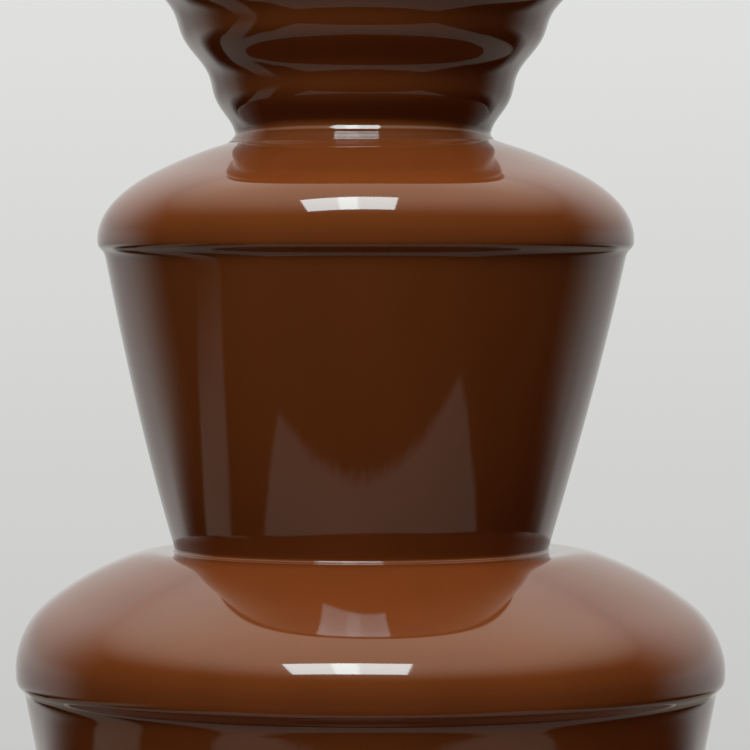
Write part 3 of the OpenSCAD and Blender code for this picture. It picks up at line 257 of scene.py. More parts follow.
# %% [markdown]
# A flow needs a back as well, because a surface without thickness has no inside. So each profile
# goes on below its foot, up inside its curtain, and back between the film and the metal.

# %% The hidden side of a flow
UNDER_IN, UNDER_DOWN = 0.2, 0.4
ABOVE_BED, BELOW_LIP, EVERY = 1.0, 3.0, 3


def under_foot(outer_r, inner_r, bed):
    """Two points below the bed's surface, one inside the foot's edge and one under the curtain."""
    r = np.array([outer_r - UNDER_IN, inner_r])
    return np.stack([r, height_on(bed, r) - UNDER_DOWN], 1)


def closed_under(outer, curtain, bed, tier):
    """Closes a flow's profile: under its foot, up inside its curtain and back under its film."""
    inner = curtain[::-EVERY] - [CURTAIN, 0]
    clear = (inner[:, 1] > curtain[-1][1] + ABOVE_BED) & (inner[:, 1] < tier["lip"] - BELOW_LIP)
    inner = inner[clear]
    under = under_foot(outer[-1][0], inner[0][0], bed)
    low = tier["lip"] - SKIN
    lip = np.array([[inner[-1][0], low], [tier["edge"] + SKIN, low]])
    dome = dome_curve(tier, n=60)
    return np.concatenate([outer, under, inner, lip, (dome + SKIN * normals(dome))[::-2]])


# %% [markdown]
# Flowing chocolate is never perfectly round. Faint streaks run down it, and each ring leans a
# little to one side. A noise texture could shake the surface too, but it would not run down in
# lines. So the streaks are a sum of a few waves round the axis, from a fixed seed, and every run
# gives the same surface.

# %% Round the axis
COLUMNS = 288
angle = (np.arange(COLUMNS) * 2 * np.pi / COLUMNS)[None, :]
front = (angle + np.pi / 2 + np.pi) % (2 * np.pi) - np.pi
print("columns round the axis:", COLUMNS)


def carried_round(line, swell, shift):
    """Grid of a profile carried round: each point moved out by swell along the profile's normal,
    and sideways by shift along x."""
    out = normals(line)
    r = line[:, :1] + out[:, :1] * swell
    z = line[:, 1:] + out[:, 1:] * swell
    return np.stack([r * np.cos(angle) + shift[:, None], r * np.sin(angle), z + 0 * angle], -1)


def facing(turn, power):
    """1 in front, dying away round the axis: e to the minus (angle over turn) to a power."""
    return np.exp(-(front / turn) ** power)


def bell(line, film, at_r, reach):
    """Bell-shaped swell along a profile: e to the minus square of the distance over the reach.

    The distance is measured along the profile from where its film has radius at_r.
    """
    s = np.concatenate([[0], np.cumsum(np.linalg.norm(np.diff(line, axis=0), axis=1))])[:, None]
    return np.exp(-((s - s[np.argmin(np.abs(film[:, 0] - at_r))]) / reach) ** 2)


def down_ramp(line, start_z, over):
    """0 on a profile's points above a height, rising smoothly to 1 on those lower by over."""
    return smooth((start_z - line[:, 1]) / over)


def outside(line, outer):
    """1 on the rows of a profile that show, 0 on those that close it from inside."""
    return (np.arange(len(line)) < len(outer))[:, None]


# %% [markdown]
# The streaks come in two steps: the waves themselves, and their growth. On a tier the film is calm,
# so its streaks begin a little below the edge and grow down the curtain.


# %% Streaks
def streaks(seed, lowest, highest, size):
    """Sum of cosines round the axis, each weaker as its count rises, with a mean size given."""
    dice = np.random.default_rng(seed)
    count = np.arange(lowest, highest)
    weight = dice.normal(size=len(count)) / count
    phase = dice.uniform(0, 2 * np.pi, len(count))
    wave = (weight[:, None] * np.cos(count[:, None] * front + phase[:, None])).sum(0)
    return size * wave / np.abs(wave).mean()


CALM_BELOW_LIP, GROWN_OVER = 8, 30


def curtain_streaks(line, outer, tier, seed, size):
    """Streaks on a flow's outer rows, times a ramp that starts a little below the tier's edge."""
    falling = down_ramp(line, tier["lip"] - CALM_BELOW_LIP, GROWN_OVER)[:, None]
    return falling * outside(line, outer) * streaks(seed, lowest=14, highest=70, size=size)


# %% [markdown]
# The middle tier's flow: a film on the dome, the rolled edge, and the smooth tapering curtain that
# falls on the lower tier. Towards the front the film is a little fuller at the shoulder.

# %% Middle flow
MIDDLE_FOOT_R, MIDDLE_FULLER, MIDDLE_SHIFT = 43.2, 1.6, -1.0
landing = np.array([MIDDLE_FOOT_R, height_on(lower_film, MIDDLE_FOOT_R)])
edge_roll = rolled_edge(
    middle_film[-1], lean_after=12.2, peak=45, at=2.5, width=1.3, length=6.0, n=60)
curtain = falling_curtain(edge_roll[-1], landing, bow=0.82, n=64)
foot = curtain_foot(curtain[1:], lower_film, radius=0.7, n=10)
outer = np.concatenate([middle_film, edge_roll[1:], foot])
profile = closed_under(outer, curtain, lower_film, MIDDLE)
in_front = facing(turn=0.8, power=2)
swell = MIDDLE_FULLER * bell(profile, middle_film, at_r=56.0, reach=8.0) * in_front
swell = swell + curtain_streaks(profile, outer, MIDDLE, seed=3, size=0.012)
shift = MIDDLE_SHIFT * down_ramp(profile, MIDDLE["lip"] + 10, over=75)
middle_flow = piece_from_grids("middle_flow", [carried_round(profile, swell, shift)], False)
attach(middle_flow, "middle_tier")
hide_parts("middle_chocolate")

# %% [markdown]
# The lower tier's flow is made in the same way. Its curtain falls into the bowl, where a level pool
# takes the place of the film. In front the film is leaner over most of the dome and a little fuller
# at its two ends, which puts the lamp's mirror images where the photograph has them. Round the
# sides its shoulder is fuller.

# %% Lower flow
POOL_Z, LOWER_FOOT_R, LOWER_SHIFT = 140.0, 60.0, 1.1
SIDE_FULLER, LEANER, FULLER_IN, FULLER_OUT = 0.45, 1.84, 0.31, 0.45
RING_OUT_R, RING_OVER = 43.5, 6
pool_level = np.array([[28.0, POOL_Z], [130.0, POOL_Z]])
edge_roll = rolled_edge(
    lower_film[-1], lean_after=10, peak=44, at=4.5, width=1.45, length=8.6, n=70)
curtain = falling_curtain(edge_roll[-1], np.array([LOWER_FOOT_R, POOL_Z]), bow=0.86, n=60)
foot = curtain_foot(curtain[1:], pool_level, radius=2.5, n=18)
outer = np.concatenate([lower_film, edge_roll[1:], foot])
profile = closed_under(outer, curtain, pool_level, LOWER)
in_front = facing(turn=1.25, power=4)
clear_of_ring = smooth((profile[:, :1] - RING_OUT_R) / RING_OVER)
swell = SIDE_FULLER * bell(profile, lower_film, at_r=77.0, reach=6.0) * (1 - in_front)
for size, at_r, reach in ((-LEANER, 70.7, 16.6), (FULLER_IN, 52.0, 5.0)):
    swell = swell + size * bell(profile, lower_film, at_r, reach) * in_front * clear_of_ring
swell = swell + FULLER_OUT * bell(profile, lower_film, at_r=81.0, reach=9.0) * in_front
swell = swell + curtain_streaks(profile, outer, LOWER, seed=5, size=0.02)
shift = LOWER_SHIFT * down_ramp(profile, LOWER["lip"] + 30, over=30)
lower_flow = piece_from_grids("lower_flow", [carried_round(profile, swell, shift)], False)
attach(lower_flow, "lower_tier")
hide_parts("lower_chocolate")

# %% [markdown]
# The crown's flow wells up out of the tube, runs over the rim in a round bead and falls as a
# curtain that draws in fast, with rings that ride down it. The rings are a cosine of the height,
# which fades at both ends of the curtain.

# %% Crown's welling and curtain
CROWN_RIM, CROWN_R, TUBE_TOP, BORE_R = 397.0, 47.0, 379.0, 23.5
BEAD_R, BEAD_OUT, BEAD_TURN = 2.6, 2.4, (90, -32)
RIM_FILM, WELL_RISE, CROWN_FOOT_R = 2.0, 7, 29.2
RIPPLE, RIPPLE_STEP, RIPPLE_PEAK, FADE_IN, FADE_OUT = 0.65, 14.0, 381.35, 5, 6
bead_at = np.array([CROWN_R + BEAD_OUT - BEAD_R, CROWN_RIM + RIM_FILM - BEAD_R])
turn = np.radians(np.linspace(*BEAD_TURN, 40))
bead = bead_at + BEAD_R * np.stack([np.cos(turn), np.sin(turn)], 1)
well_z = CROWN_RIM + WELL_RISE
welling = bezier((0, well_z), (0.55 * CROWN_R, well_z), (0.6 * CROWN_R, CROWN_RIM + RIM_FILM),
                 bead[0], n=40)
landing = np.array([CROWN_FOOT_R, height_on(middle_film, CROWN_FOOT_R)])
curtain = falling_curtain(bead[-1], landing, bow=1.2, n=110)
share = np.linspace(0, 1, len(curtain))
fade = np.sin(np.pi / 2 * np.minimum(1, FADE_IN * share))
fade = fade * np.sin(np.pi / 2 * np.minimum(1, FADE_OUT * (1 - share)))
rings = np.cos(2 * np.pi * (curtain[:, 1] - RIPPLE_PEAK) / RIPPLE_STEP)
curtain[:, 0] += RIPPLE * fade * rings
print("crown's curtain falls", round(curtain[0][1] - curtain[-1][1], 1), "mm")

# %% [markdown]
# Where it lands, the curtain is held back and spreads in a foot. At the sides that is a low flare.
# In front it is taller: a rounded lip over a steep, finely wrinkled face, which mirrors the lamp
# twice. A fillet of one radius would mirror it once, so the foot is drawn by how far its face tips
# up at lengths along it.

# %% Crown's foot
FOOT_ROWS = 96
RUFFLE_STEP, RUFFLE_AT, RUFFLE_REACH = 0.32, 0.75, 0.22


def landed(curtain, bed, at, tips, sink, ruffle):
    """Curtain with a foot: a line whose face tips up by the angles given at lengths along it.

    Each step goes out by the sine of the tip and down by its cosine. The foot slides along the
    curtain until its end is sunk in the bed by the depth given. Along its lower half, ruffle adds
    a fine wave to the tip, because the flow wrinkles where it is held back.
    """
    s = np.linspace(0, at[-1], FOOT_ROWS)
    window = np.exp(-((s / at[-1] - RUFFLE_AT) / RUFFLE_REACH) ** 4)
    wave = np.cos(2 * np.pi * s / RUFFLE_STEP) * window
    tip = np.radians(eased(np.interp(s, at, tips), reach=3) + ruffle * wave)
    foot = np.cumsum(np.stack([np.sin(tip), -np.cos(tip)], 1) * np.gradient(s)[:, None], 0)
    ends = curtain + foot[-1]
    gap = ends[:, 1] - height_on(bed, ends[:, 0]) + sink
    place = np.arange(len(curtain))
    last = np.interp(0, gap[::-1], place[::-1])
    kept = np.linspace(0, last, len(curtain))
    upper = np.stack([np.interp(kept, place, curtain[:, k]) for k in (0, 1)], 1)
    return np.concatenate([upper, upper[-1] + foot])


side_foot = landed(curtain[1:], middle_film, at=(0, 1.0, 1.5, 2.0, 2.9),
                   tips=(-18, 34, 44, 38, 64), sink=SUNK, ruffle=0)
front_foot = landed(curtain[1:], middle_film, at=(0, 1.2, 1.5, 1.9, 2.3, 2.55, 2.8, 4.9, 5.1),
                    tips=(-18, 16, 29, 29, 17, 14, 19.0, 19.0, 40), sink=0.35, ruffle=3.5)
print("foot ends at radius", side_foot[-1][0].round(2), "and in front", front_foot[-1][0].round(2))

# %% [markdown]
# Inside, the flow follows the crown's cup down to a level floor over the tube. Two grids, one with
# each foot, are then blended round the axis. They have the same rows, so a point of one always has
# its partner in the other.

# %% Crown flow
FLOOR_OVER_TUBE, INNER_WALL, INNER_ABOVE, CROWN_SHIFT = 3, 1.15, 3, -0.7
cup = bezier((BORE_R, TUBE_TOP + 2), (BORE_R, TUBE_TOP + 8), (CROWN_R - 16, CROWN_RIM - 4),
             (CROWN_R, CROWN_RIM), n=24)
cup = cup + SKIN * normals(cup)
well_floor = TUBE_TOP + FLOOR_OVER_TUBE
inner = curtain[curtain[:, 1] > landing[1] + INNER_ABOVE][::-EVERY] - [CURTAIN * INNER_WALL, 0]
inside_rows = np.concatenate([
    under_foot(side_foot[-1][0], inner[0][0], middle_film), inner[:-1],
    [[CROWN_R + SKIN, CROWN_RIM]], cup[cup[:, 1] > well_floor][::-1],
    [[BORE_R - 0.3, well_floor], [BORE_R / 2, well_floor], [0, well_floor]],
])
grids = []
for foot in (side_foot, front_foot):
    outer = np.concatenate([welling, bead[1:], foot])
    profile = np.concatenate([outer, inside_rows])
    grown = outside(profile, outer) * smooth(profile[:, :1] / 25)
    swell = grown * streaks(seed=8, lowest=10, highest=50, size=0.012)
    shift = CROWN_SHIFT * down_ramp(profile, CROWN_RIM, over=12) * outside(profile, outer)[:, 0]
    grids.append(carried_round(profile, swell, shift))
in_front = facing(turn=1.1, power=4)[..., None]
grid = grids[0] + (grids[1] - grids[0]) * in_front
crown_flow = piece_from_grids("crown_flow", [grid], True)
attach(crown_flow, "crown")
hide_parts("crown_chocolate")

# %% [markdown]
# The pool in the bowl is level, with rings where the curtain falls in and a rise where it wets the
# bowl's wall. A fluid simulation could make such rings, but a wave of the radius gives them at once
# and the same on every run. Under its surface the pool follows the bowl.

# %% Pool in the bowl
BOWL_FOOT, BOWL_EDGE, FLOOR_Z, RIM_Z, POOL_HOLE, BEND_R = 103.0, 137.0, 110.0, 162.0, 30.0, 16
RING_R, RING_HIGH, RING_REACH, RING_STEP = 62, 0.5, 14, 7.5
WET_HIGH, WET_REACH, WET_OUT = 1.1, 1.6, 0.6
CALM_R, CALM_OVER, SWELL_HIGH, SWELL_STEP, SHORE_ROWS = 70, 20, 0.25, 9, 12
shore_r = BOWL_FOOT + (BOWL_EDGE - BOWL_FOOT) * (POOL_Z - FLOOR_Z) / (RIM_Z - FLOOR_Z)
r = np.linspace(POOL_HOLE, shore_r - 0.1, 190)
rings = RING_HIGH * np.exp(-((r - RING_R) / RING_REACH) ** 2)
rings = rings * np.cos(2 * np.pi * (r - RING_R) / RING_STEP) * smooth((r - LOWER_FOOT_R) / 6)
wet = WET_HIGH * np.exp((r - shore_r) / WET_REACH)
top = np.stack([r + WET_OUT * wet, POOL_Z + rings + wet], 1)
wall = np.array([BOWL_EDGE - BOWL_FOOT, RIM_Z - FLOOR_Z])
wall = wall / np.linalg.norm(wall)
outward = np.array([wall[1], -wall[0]])
corner = np.array([BOWL_FOOT, FLOOR_Z])
bend = rounded_corner(corner + wall * 40, corner, corner - [60, 0], BEND_R, n=16)
bend = bend - SKIN * 2 * outward + [0, SKIN]
profile = np.concatenate([top, bend, [[POOL_HOLE, FLOOR_Z + SKIN]]])
open_pool = (np.arange(len(profile)) < len(r) - SHORE_ROWS)[:, None]
swell = SWELL_HIGH * smooth((profile[:, :1] - CALM_R) / CALM_OVER) * open_pool
waves = streaks(seed=13, lowest=2, highest=9, size=0.6)
swell = swell * waves * np.cos(profile[:, :1] / SWELL_STEP)
grid = carried_round(profile, swell, np.zeros(len(profile)))
pool = piece_from_grids("bowl_pool", [grid], False)
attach(pool, "base")
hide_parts("bowl_chocolate")

# %% [markdown]
# The controls carry a little print. Screen print stands up by about a tenth of a millimetre, so
# each mark is a low pad. A pad could be a flat curve, but a real rim catches the light, so it is a
# small solid. Round the heat knob runs a scale of short strokes. The knob's pointer is a groove
# filled with the same white, so its pad lies sunk in the knob's face.


# %% Marks of the heat knob
def stroke(width, length, lift, sink, n=24):
    """Pad with round ends: its outline at a few shares of its size, from a middle point above the
    face, over the rim, to a middle point below it. Axes are across, along and out of the face."""
    t = np.arange(n) * 2 * np.pi / n
    across, along = np.cos(t) * width / 2, np.sin(t) * width / 2
    along = along + np.sign(np.round(along, 6)) * (length - width) / 2
    share = np.array([0, 0.7, 0.93, 1, 1, 0])[:, None]
    out = np.array([lift, lift, 0.85 * lift, 0.5 * lift, -sink, -sink])[:, None]
    return np.stack([share * across, share * along, out + 0 * across], -1)


KNOB_X, CONTROL_Z, FASCIA_Y = -30.0, 66.5, -108.0
SCALE_R, SCALE_TURN, SCALE_STROKES = 19.6, 135, 11
turns = np.radians(np.linspace(-SCALE_TURN, SCALE_TURN, SCALE_STROKES))[:, None, None]
tick = stroke(width=0.65, length=1.4, lift=0.12, sink=0.1)
across, along = tick[..., 0], tick[..., 1] + SCALE_R
tick_x = KNOB_X + across * np.cos(turns) + along * np.sin(turns)
tick_y = FASCIA_Y - tick[..., 2] + 0 * turns
tick_z = CONTROL_Z - across * np.sin(turns) + along * np.cos(turns)
dial_strokes = piece_from_grids("dial_strokes", list(np.stack([tick_x, tick_y, tick_z], -1)), True)
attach(dial_strokes, "base")

KNOB_FACE_Y, POINTER_R, POINTER_SUNK = -125.8, 10.6, 0.35
fill = stroke(width=1.3, length=5.2, lift=0.25, sink=0.5)
fill = np.stack([KNOB_X + fill[..., 0], KNOB_FACE_Y + POINTER_SUNK - fill[..., 2],
                 CONTROL_Z + POINTER_R + fill[..., 1]], -1)
knob_pointer = piece_from_grids("knob_pointer", [fill], True)
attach(knob_pointer, "knob")

# %% [markdown]
# The motor's rocker carries the two usual signs, a ring for off and a stroke for on. Its face is
# hollow, two slopes that meet in the middle, and at rest it is tilted to on. So a sign is made
# flat, laid on its slope, and turned with the rocker.


# %% Signs of the rocker
def loop_mark(radius, width, lift, sink, rows=8, n=40):
    """Ring of print: a flat ellipse carried round a circle. Axes as in a stroke."""
    turn = np.pi - np.arange(rows)[:, None] * 2 * np.pi / rows
    t = np.arange(n)[None, :] * 2 * np.pi / n
    far = radius + width / 2 * np.cos(turn)
    out = np.where(np.sin(turn) > 0, lift, sink) * np.sin(turn)
    return np.stack([far * np.cos(t), far * np.sin(t), out + 0 * t], -1)


ROCKER_X, PIVOT_Y, REST_TILT = 30.0, -104.0, math.radians(10)
FACE_LOW, FACE_RISE, FACE_HALF = 6.8, 1.2, 7.9


def on_rocker(mark, upper):
    """A mark laid on one slope of the rocker's face, then turned by the rocker's rest tilt."""
    slant = math.hypot(FACE_RISE, FACE_HALF)
    up, out = FACE_HALF / slant, (FACE_RISE if upper else -FACE_RISE) / slant
    middle = FACE_HALF / 2 * (1 if upper else -1)
    along = middle + mark[..., 1] * up - mark[..., 2] * out
    away = FACE_LOW + FACE_RISE / 2 + mark[..., 1] * out + mark[..., 2] * up
    cos, sin = math.cos(REST_TILT), math.sin(REST_TILT)
    return np.stack([ROCKER_X + mark[..., 0], PIVOT_Y - along * sin - away * cos,
                     CONTROL_Z + along * cos - away * sin], -1)


ring = on_rocker(loop_mark(radius=1.6, width=0.6, lift=0.1, sink=0.1), upper=True)
bar = on_rocker(stroke(width=0.6, length=3.2, lift=0.1, sink=0.1), upper=False)
off_sign = piece_from_grids("off_sign", [ring], False)
on_sign = piece_from_grids("on_sign", [bar], True)
for sign in (off_sign, on_sign):
    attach(sign, "rocker")

# %% [markdown]
# Materials. Colours are written as they look on a screen and turned to linear light by one
# function. One small function adds a node, sets its properties and gives its inputs values or
# links, and every finish is built from it. A Mix node's inputs 0, 6 and 7 are its share and its two
# colours, and its output 2 is the mixed colour.


# %% Colour and node helpers
def linear(hex_colour):
    """Linear colour of an sRGB hex value."""
    parts = [int(hex_colour[k:k + 2], 16) / 255 for k in (1, 3, 5)]
    return [c / 12.92 if c <= 0.04045 else ((c + 0.055) / 1.055) ** 2.4 for c in parts] + [1.0]


def add(tree, kind, inputs=None, **settings):
    """A shader node: settings are its properties, inputs are values or outputs that feed them."""
    node = tree.nodes.new("ShaderNode" + kind)
    for key, value in settings.items():
        setattr(node, key, value)
    for key, value in (inputs or {}).items():
        if isinstance(value, bpy.types.NodeSocket):
            tree.links.new(value, node.inputs[key])
        else:
            node.inputs[key].default_value = value
    return node


def new_material(name):
    """A material with an empty node tree, the tree, and the place on the piece in metres."""
    material = bpy.data.materials.new(name)
    material.use_nodes = True
    tree = material.node_tree
    tree.nodes.clear()
    return material, tree, add(tree, "TexCoord").outputs["Object"]


def per_metre(size_mm):
    """Scale of a pattern whose features are this many millimetres apart."""
    return 1000.0 / size_mm


# %% [markdown]
# Melted milk chocolate is an opaque brown under a wet, mirror-smooth skin of cocoa butter. Its
# colour drifts a little along the flow, in patches about a centimetre wide and several long. The
# gloss comes from a low roughness and the index of cocoa butter.

# %% Melted milk chocolate
DRIFT_MM, DRIFT_LONG_MM, FAT_MM = 11.0, 70.0, 16.0
DARK_MILK, PALE_MILK, COCOA_BUTTER_IOR = "#622F13", "#6D3517", 1.48
chocolate, tree, place = new_material("melted_milk_chocolate")
stretch = (per_metre(DRIFT_MM), per_metre(DRIFT_MM), per_metre(DRIFT_LONG_MM))
along_flow = add(tree, "Mapping", {"Vector": place, "Scale": stretch})
drift = add(tree, "TexNoise", {"Vector": along_flow.outputs[0], "Scale": 1.0, "Detail": 4.0})
brown = add(tree, "Mix", {0: drift.outputs[0], 6: linear(DARK_MILK), 7: linear(PALE_MILK)},
            data_type="RGBA")
fat = add(tree, "TexNoise", {"Vector": place, "Scale": per_metre(FAT_MM), "Detail": 2.0})
gloss = add(tree, "MapRange", {"Value": fat.outputs[0], "To Min": 0.035, "To Max": 0.06})
skin = add(tree, "BsdfPrincipled", {
    "Base Color": brown.outputs[2], "Roughness": gloss.outputs[0], "IOR": COCOA_BUTTER_IOR})
add(tree, "OutputMaterial", {"Surface": skin.outputs[0]})
flows = (crown_flow, middle_flow, lower_flow, pool)
for flow in flows:
    flow.data.materials.append(chocolate)
print("chocolate on", len(flows), "flows")

# %% [markdown]
# Under the chocolate is metal. Tiers, bowl and housing are stainless sheet spun on a lathe, and
# most small parts are turned, so fine lines run round the axis. Such lines depend on the radius and
# the height alone, so one noise of those two numbers draws them on every round part. The real lines
# are a tenth of a millimetre apart and would not show, so they are drawn about a millimetre apart.


# %% Lathe lines and metal
def lathe_lines(tree, place, line_mm):
    """Noise of the distance from the axis and of the height, the same all the way round."""
    flat = add(tree, "VectorMath", {0: place, 1: (1, 1, 0)}, operation="MULTIPLY").outputs[0]
    radius = add(tree, "VectorMath", {0: flat}, operation="LENGTH").outputs["Value"]
    height = add(tree, "SeparateXYZ", {0: place}).outputs[2]
    rings = add(tree, "CombineXYZ", {0: radius, 2: height}).outputs[0]
    noise = add(tree, "TexNoise", {"Vector": rings, "Scale": per_metre(line_mm), "Detail": 3.0})
    return noise.outputs[0]


def metal(name, dull, bright, cloud_mm, rough, line_mm, relief_mm):
    """Metal whose colour drifts in clouds and whose roughness and relief follow lathe lines."""
    material, tree, place = new_material(name)
    lines = lathe_lines(tree, place, line_mm)
    clouds = add(tree, "TexNoise", {
        "Vector": place, "Scale": per_metre(cloud_mm), "Detail": 5.0, "Roughness": 0.6})
    tint = add(tree, "MapRange", {"Value": clouds.outputs[0], "From Min": 0.3, "From Max": 0.7})
    colour = add(tree, "Mix", {0: tint.outputs[0], 6: linear(dull), 7: linear(bright)},
                 data_type="RGBA")
    gloss = add(tree, "MapRange", {
        "Value": lines, "From Min": 0.3, "From Max": 0.7, "To Min": rough[0], "To Max": rough[1]})
    relief = add(tree, "Bump", {"Height": lines, "Distance": relief_mm * MM})
    surface = add(tree, "BsdfPrincipled", {
        "Base Color": colour.outputs[2], "Metallic": 1.0, "Roughness": gloss.outputs[0],
        "Normal": relief.outputs[0]})
    add(tree, "OutputMaterial", {"Surface": surface.outputs[0]})
    return material


# %% [markdown]
# Each metal below starts from its colour when dull and when bright. Then come the size of its
# clouds, the span of its roughness, and the spacing and height of its lines.

# %% Metals
finishes = {
    # Bright sheet with a soft sheen that streaks round the axis.
    "stainless_sheet": metal("spun_stainless_steel", "#C8C7C3", "#D8D6D2", cloud_mm=40,
                             rough=(0.30, 0.40), line_mm=1.1, relief_mm=0.006),
    # Ground and buffed, so nearly a mirror with faint rings.
    "polished_steel": metal("polished_steel", "#C6C5C2", "#D8D7D3", cloud_mm=22,
                            rough=(0.08, 0.16), line_mm=0.9, relief_mm=0.004),
    # Bluish grey with cloudy patches where the plating is thinner.
    "zinc_steel": metal("zinc_plated_steel", "#989EA6", "#C2C3BA", cloud_mm=7,
                        rough=(0.26, 0.44), line_mm=1.0, relief_mm=0.006),
    # Yellow and turned, with darker tarnish in the clouds.
    "brass": metal("turned_brass", "#B08A43", "#D9B767", cloud_mm=6,
                   rough=(0.14, 0.28), line_mm=0.7, relief_mm=0.008),
    # Soft and pale, cut on a lathe and left bare.
    "aluminium": metal("turned_aluminium", "#C3C6CA", "#DADCDE", cloud_mm=12,
                       rough=(0.24, 0.38), line_mm=0.8, relief_mm=0.010),
    # Drawn tube that has browned a little with heat.
    "copper_tube": metal("drawn_copper", "#9A5534", "#CB8158", cloud_mm=5,
                         rough=(0.18, 0.34), line_mm=0.8, relief_mm=0.006),
    # Nickel alloy sheath that straw and blue tints have crept over.
    "heater_sheath": metal("heat_tinted_sheath", "#4C4B57", "#97795A", cloud_mm=11,
                           rough=(0.30, 0.48), line_mm=0.8, relief_mm=0.012),
}
print("metals:", len(finishes))

# %% [markdown]
# Plastics and rubbers come out of a mould, and the mould's etched face leaves an even grain of
# small dimples. The grain of about half a millimetre goes into the relief, and the colour drifts a
# little, in patches of nearly a centimetre.

# %% Plastics and rubbers
PATCH_MM = 9


def moulded(name, dark, light, rough, grain_mm, relief_mm, index):
    """Moulded piece: dimples from a cell pattern, a slow drift of colour, and roughness with it."""
    material, tree, place = new_material(name)
    dimples = add(tree, "TexVoronoi", {"Vector": place, "Scale": per_metre(grain_mm)})
    drift = add(tree, "TexNoise", {"Vector": place, "Scale": per_metre(PATCH_MM), "Detail": 4.0})
    colour = add(tree, "Mix", {0: drift.outputs[0], 6: linear(dark), 7: linear(light)},
                 data_type="RGBA")
    gloss = add(tree, "MapRange", {"Value": drift.outputs[0], "From Min": 0.3, "From Max": 0.7,
                                   "To Min": rough[0], "To Max": rough[1]})
    relief = add(tree, "Bump", {"Height": dimples.outputs["Distance"], "Distance": relief_mm * MM})
    surface = add(tree, "BsdfPrincipled", {
        "Base Color": colour.outputs[2], "Roughness": gloss.outputs[0], "IOR": index,
        "Normal": relief.outputs[0]})
    add(tree, "OutputMaterial", {"Surface": surface.outputs[0]})
    return material


finishes.update({
    # Etched ABS: black with a dull, even sparkle.
    "black_plastic": moulded("etched_black_abs", "#141415", "#1F1F20", rough=(0.34, 0.46),
                             grain_mm=0.6, relief_mm=0.03, index=1.53),
    # Acetal: waxy ivory, smoother than ABS.
    "ivory_plastic": moulded("ivory_acetal", "#D8CFB6", "#E6DFCB", rough=(0.24, 0.34),
                             grain_mm=0.5, relief_mm=0.008, index=1.48),
    # Polycarbonate rocker: red and glossy.
    "red_plastic": moulded("red_polycarbonate", "#8E1512", "#A81D17", rough=(0.16, 0.26),
                           grain_mm=0.5, relief_mm=0.006, index=1.58),
    # Rubber pads: matt, with a coarse grain.
    "black_rubber": moulded("black_rubber", "#111111", "#222120", rough=(0.62, 0.78),
                            grain_mm=0.9, relief_mm=0.05, index=1.52),
    # Silicone gaskets: brick red with a satin skin.
    "red_silicone": moulded("red_silicone", "#8C3A2A", "#A54A36", rough=(0.42, 0.55),
                            grain_mm=0.7, relief_mm=0.02, index=1.41),
    # Sleeve of the leads: pale, slightly yellowed glass-fibre sleeving.
    "lead_insulation": moulded("sleeved_lead", "#B9B29D", "#D2CBB6", rough=(0.5, 0.65),
                               grain_mm=0.8, relief_mm=0.06, index=1.50),
})
# Screen ink: white and matt, with the fine tooth of the screen.
print_ink = moulded("white_screen_ink", "#D9D8D2", "#E9E8E2", rough=(0.45, 0.6),
                    grain_mm=0.4, relief_mm=0.01, index=1.50)
for mark in (dial_strokes, knob_pointer, off_sign, on_sign):
    mark.data.materials.append(print_ink)
print("finishes so far:", len(finishes))

# %% [markdown]
# The pilot lamp's lens is clear amber polycarbonate with a lamp behind it, lit while the fountain
# runs. Rings moulded in its face spread the light.

# %% Pilot lamp
LENS_RING_MM, LENS_CLOUD_MM, LENS_RELIEF_MM = 0.8, 3.0, 0.02
amber, tree, place = new_material("amber_polycarbonate_lens")
rings = lathe_lines(tree, place, LENS_RING_MM)
clouds = add(tree, "TexNoise", {"Vector": place, "Scale": per_metre(LENS_CLOUD_MM)})
glow = add(tree, "Mix", {0: clouds.outputs[0], 6: linear("#E8780C"), 7: linear("#FFA62E")},
           data_type="RGBA")
relief = add(tree, "Bump", {"Height": rings, "Distance": LENS_RELIEF_MM * MM})
lens_skin = add(tree, "BsdfPrincipled", {
    "Base Color": glow.outputs[2], "Roughness": 0.12, "IOR": 1.58, "Transmission Weight": 0.35,
    "Emission Color": glow.outputs[2], "Emission Strength": 0.55, "Normal": relief.outputs[0]})
add(tree, "OutputMaterial", {"Surface": lens_skin.outputs[0]})
finishes["amber_lens"] = amber
print("finishes:", len(finishes))

# %% [markdown]
# The screw and the tube stand in the chocolate, so they come out of it coated: wholly brown low
# down, with runs and smears higher up. One shader does both surfaces. A mask of the height, shaken
# by a noise that is long along the flow, mixes its colour, its metal and its gloss.

# %% Coated tube and screw
RUN_MM, RUN_LONG_MM, SHORE_SOFT_MM, COAT_MM = 8, 42, 3, 0.25
DARK_COAT, COAT_ROUGH = "#572A11", 0.07


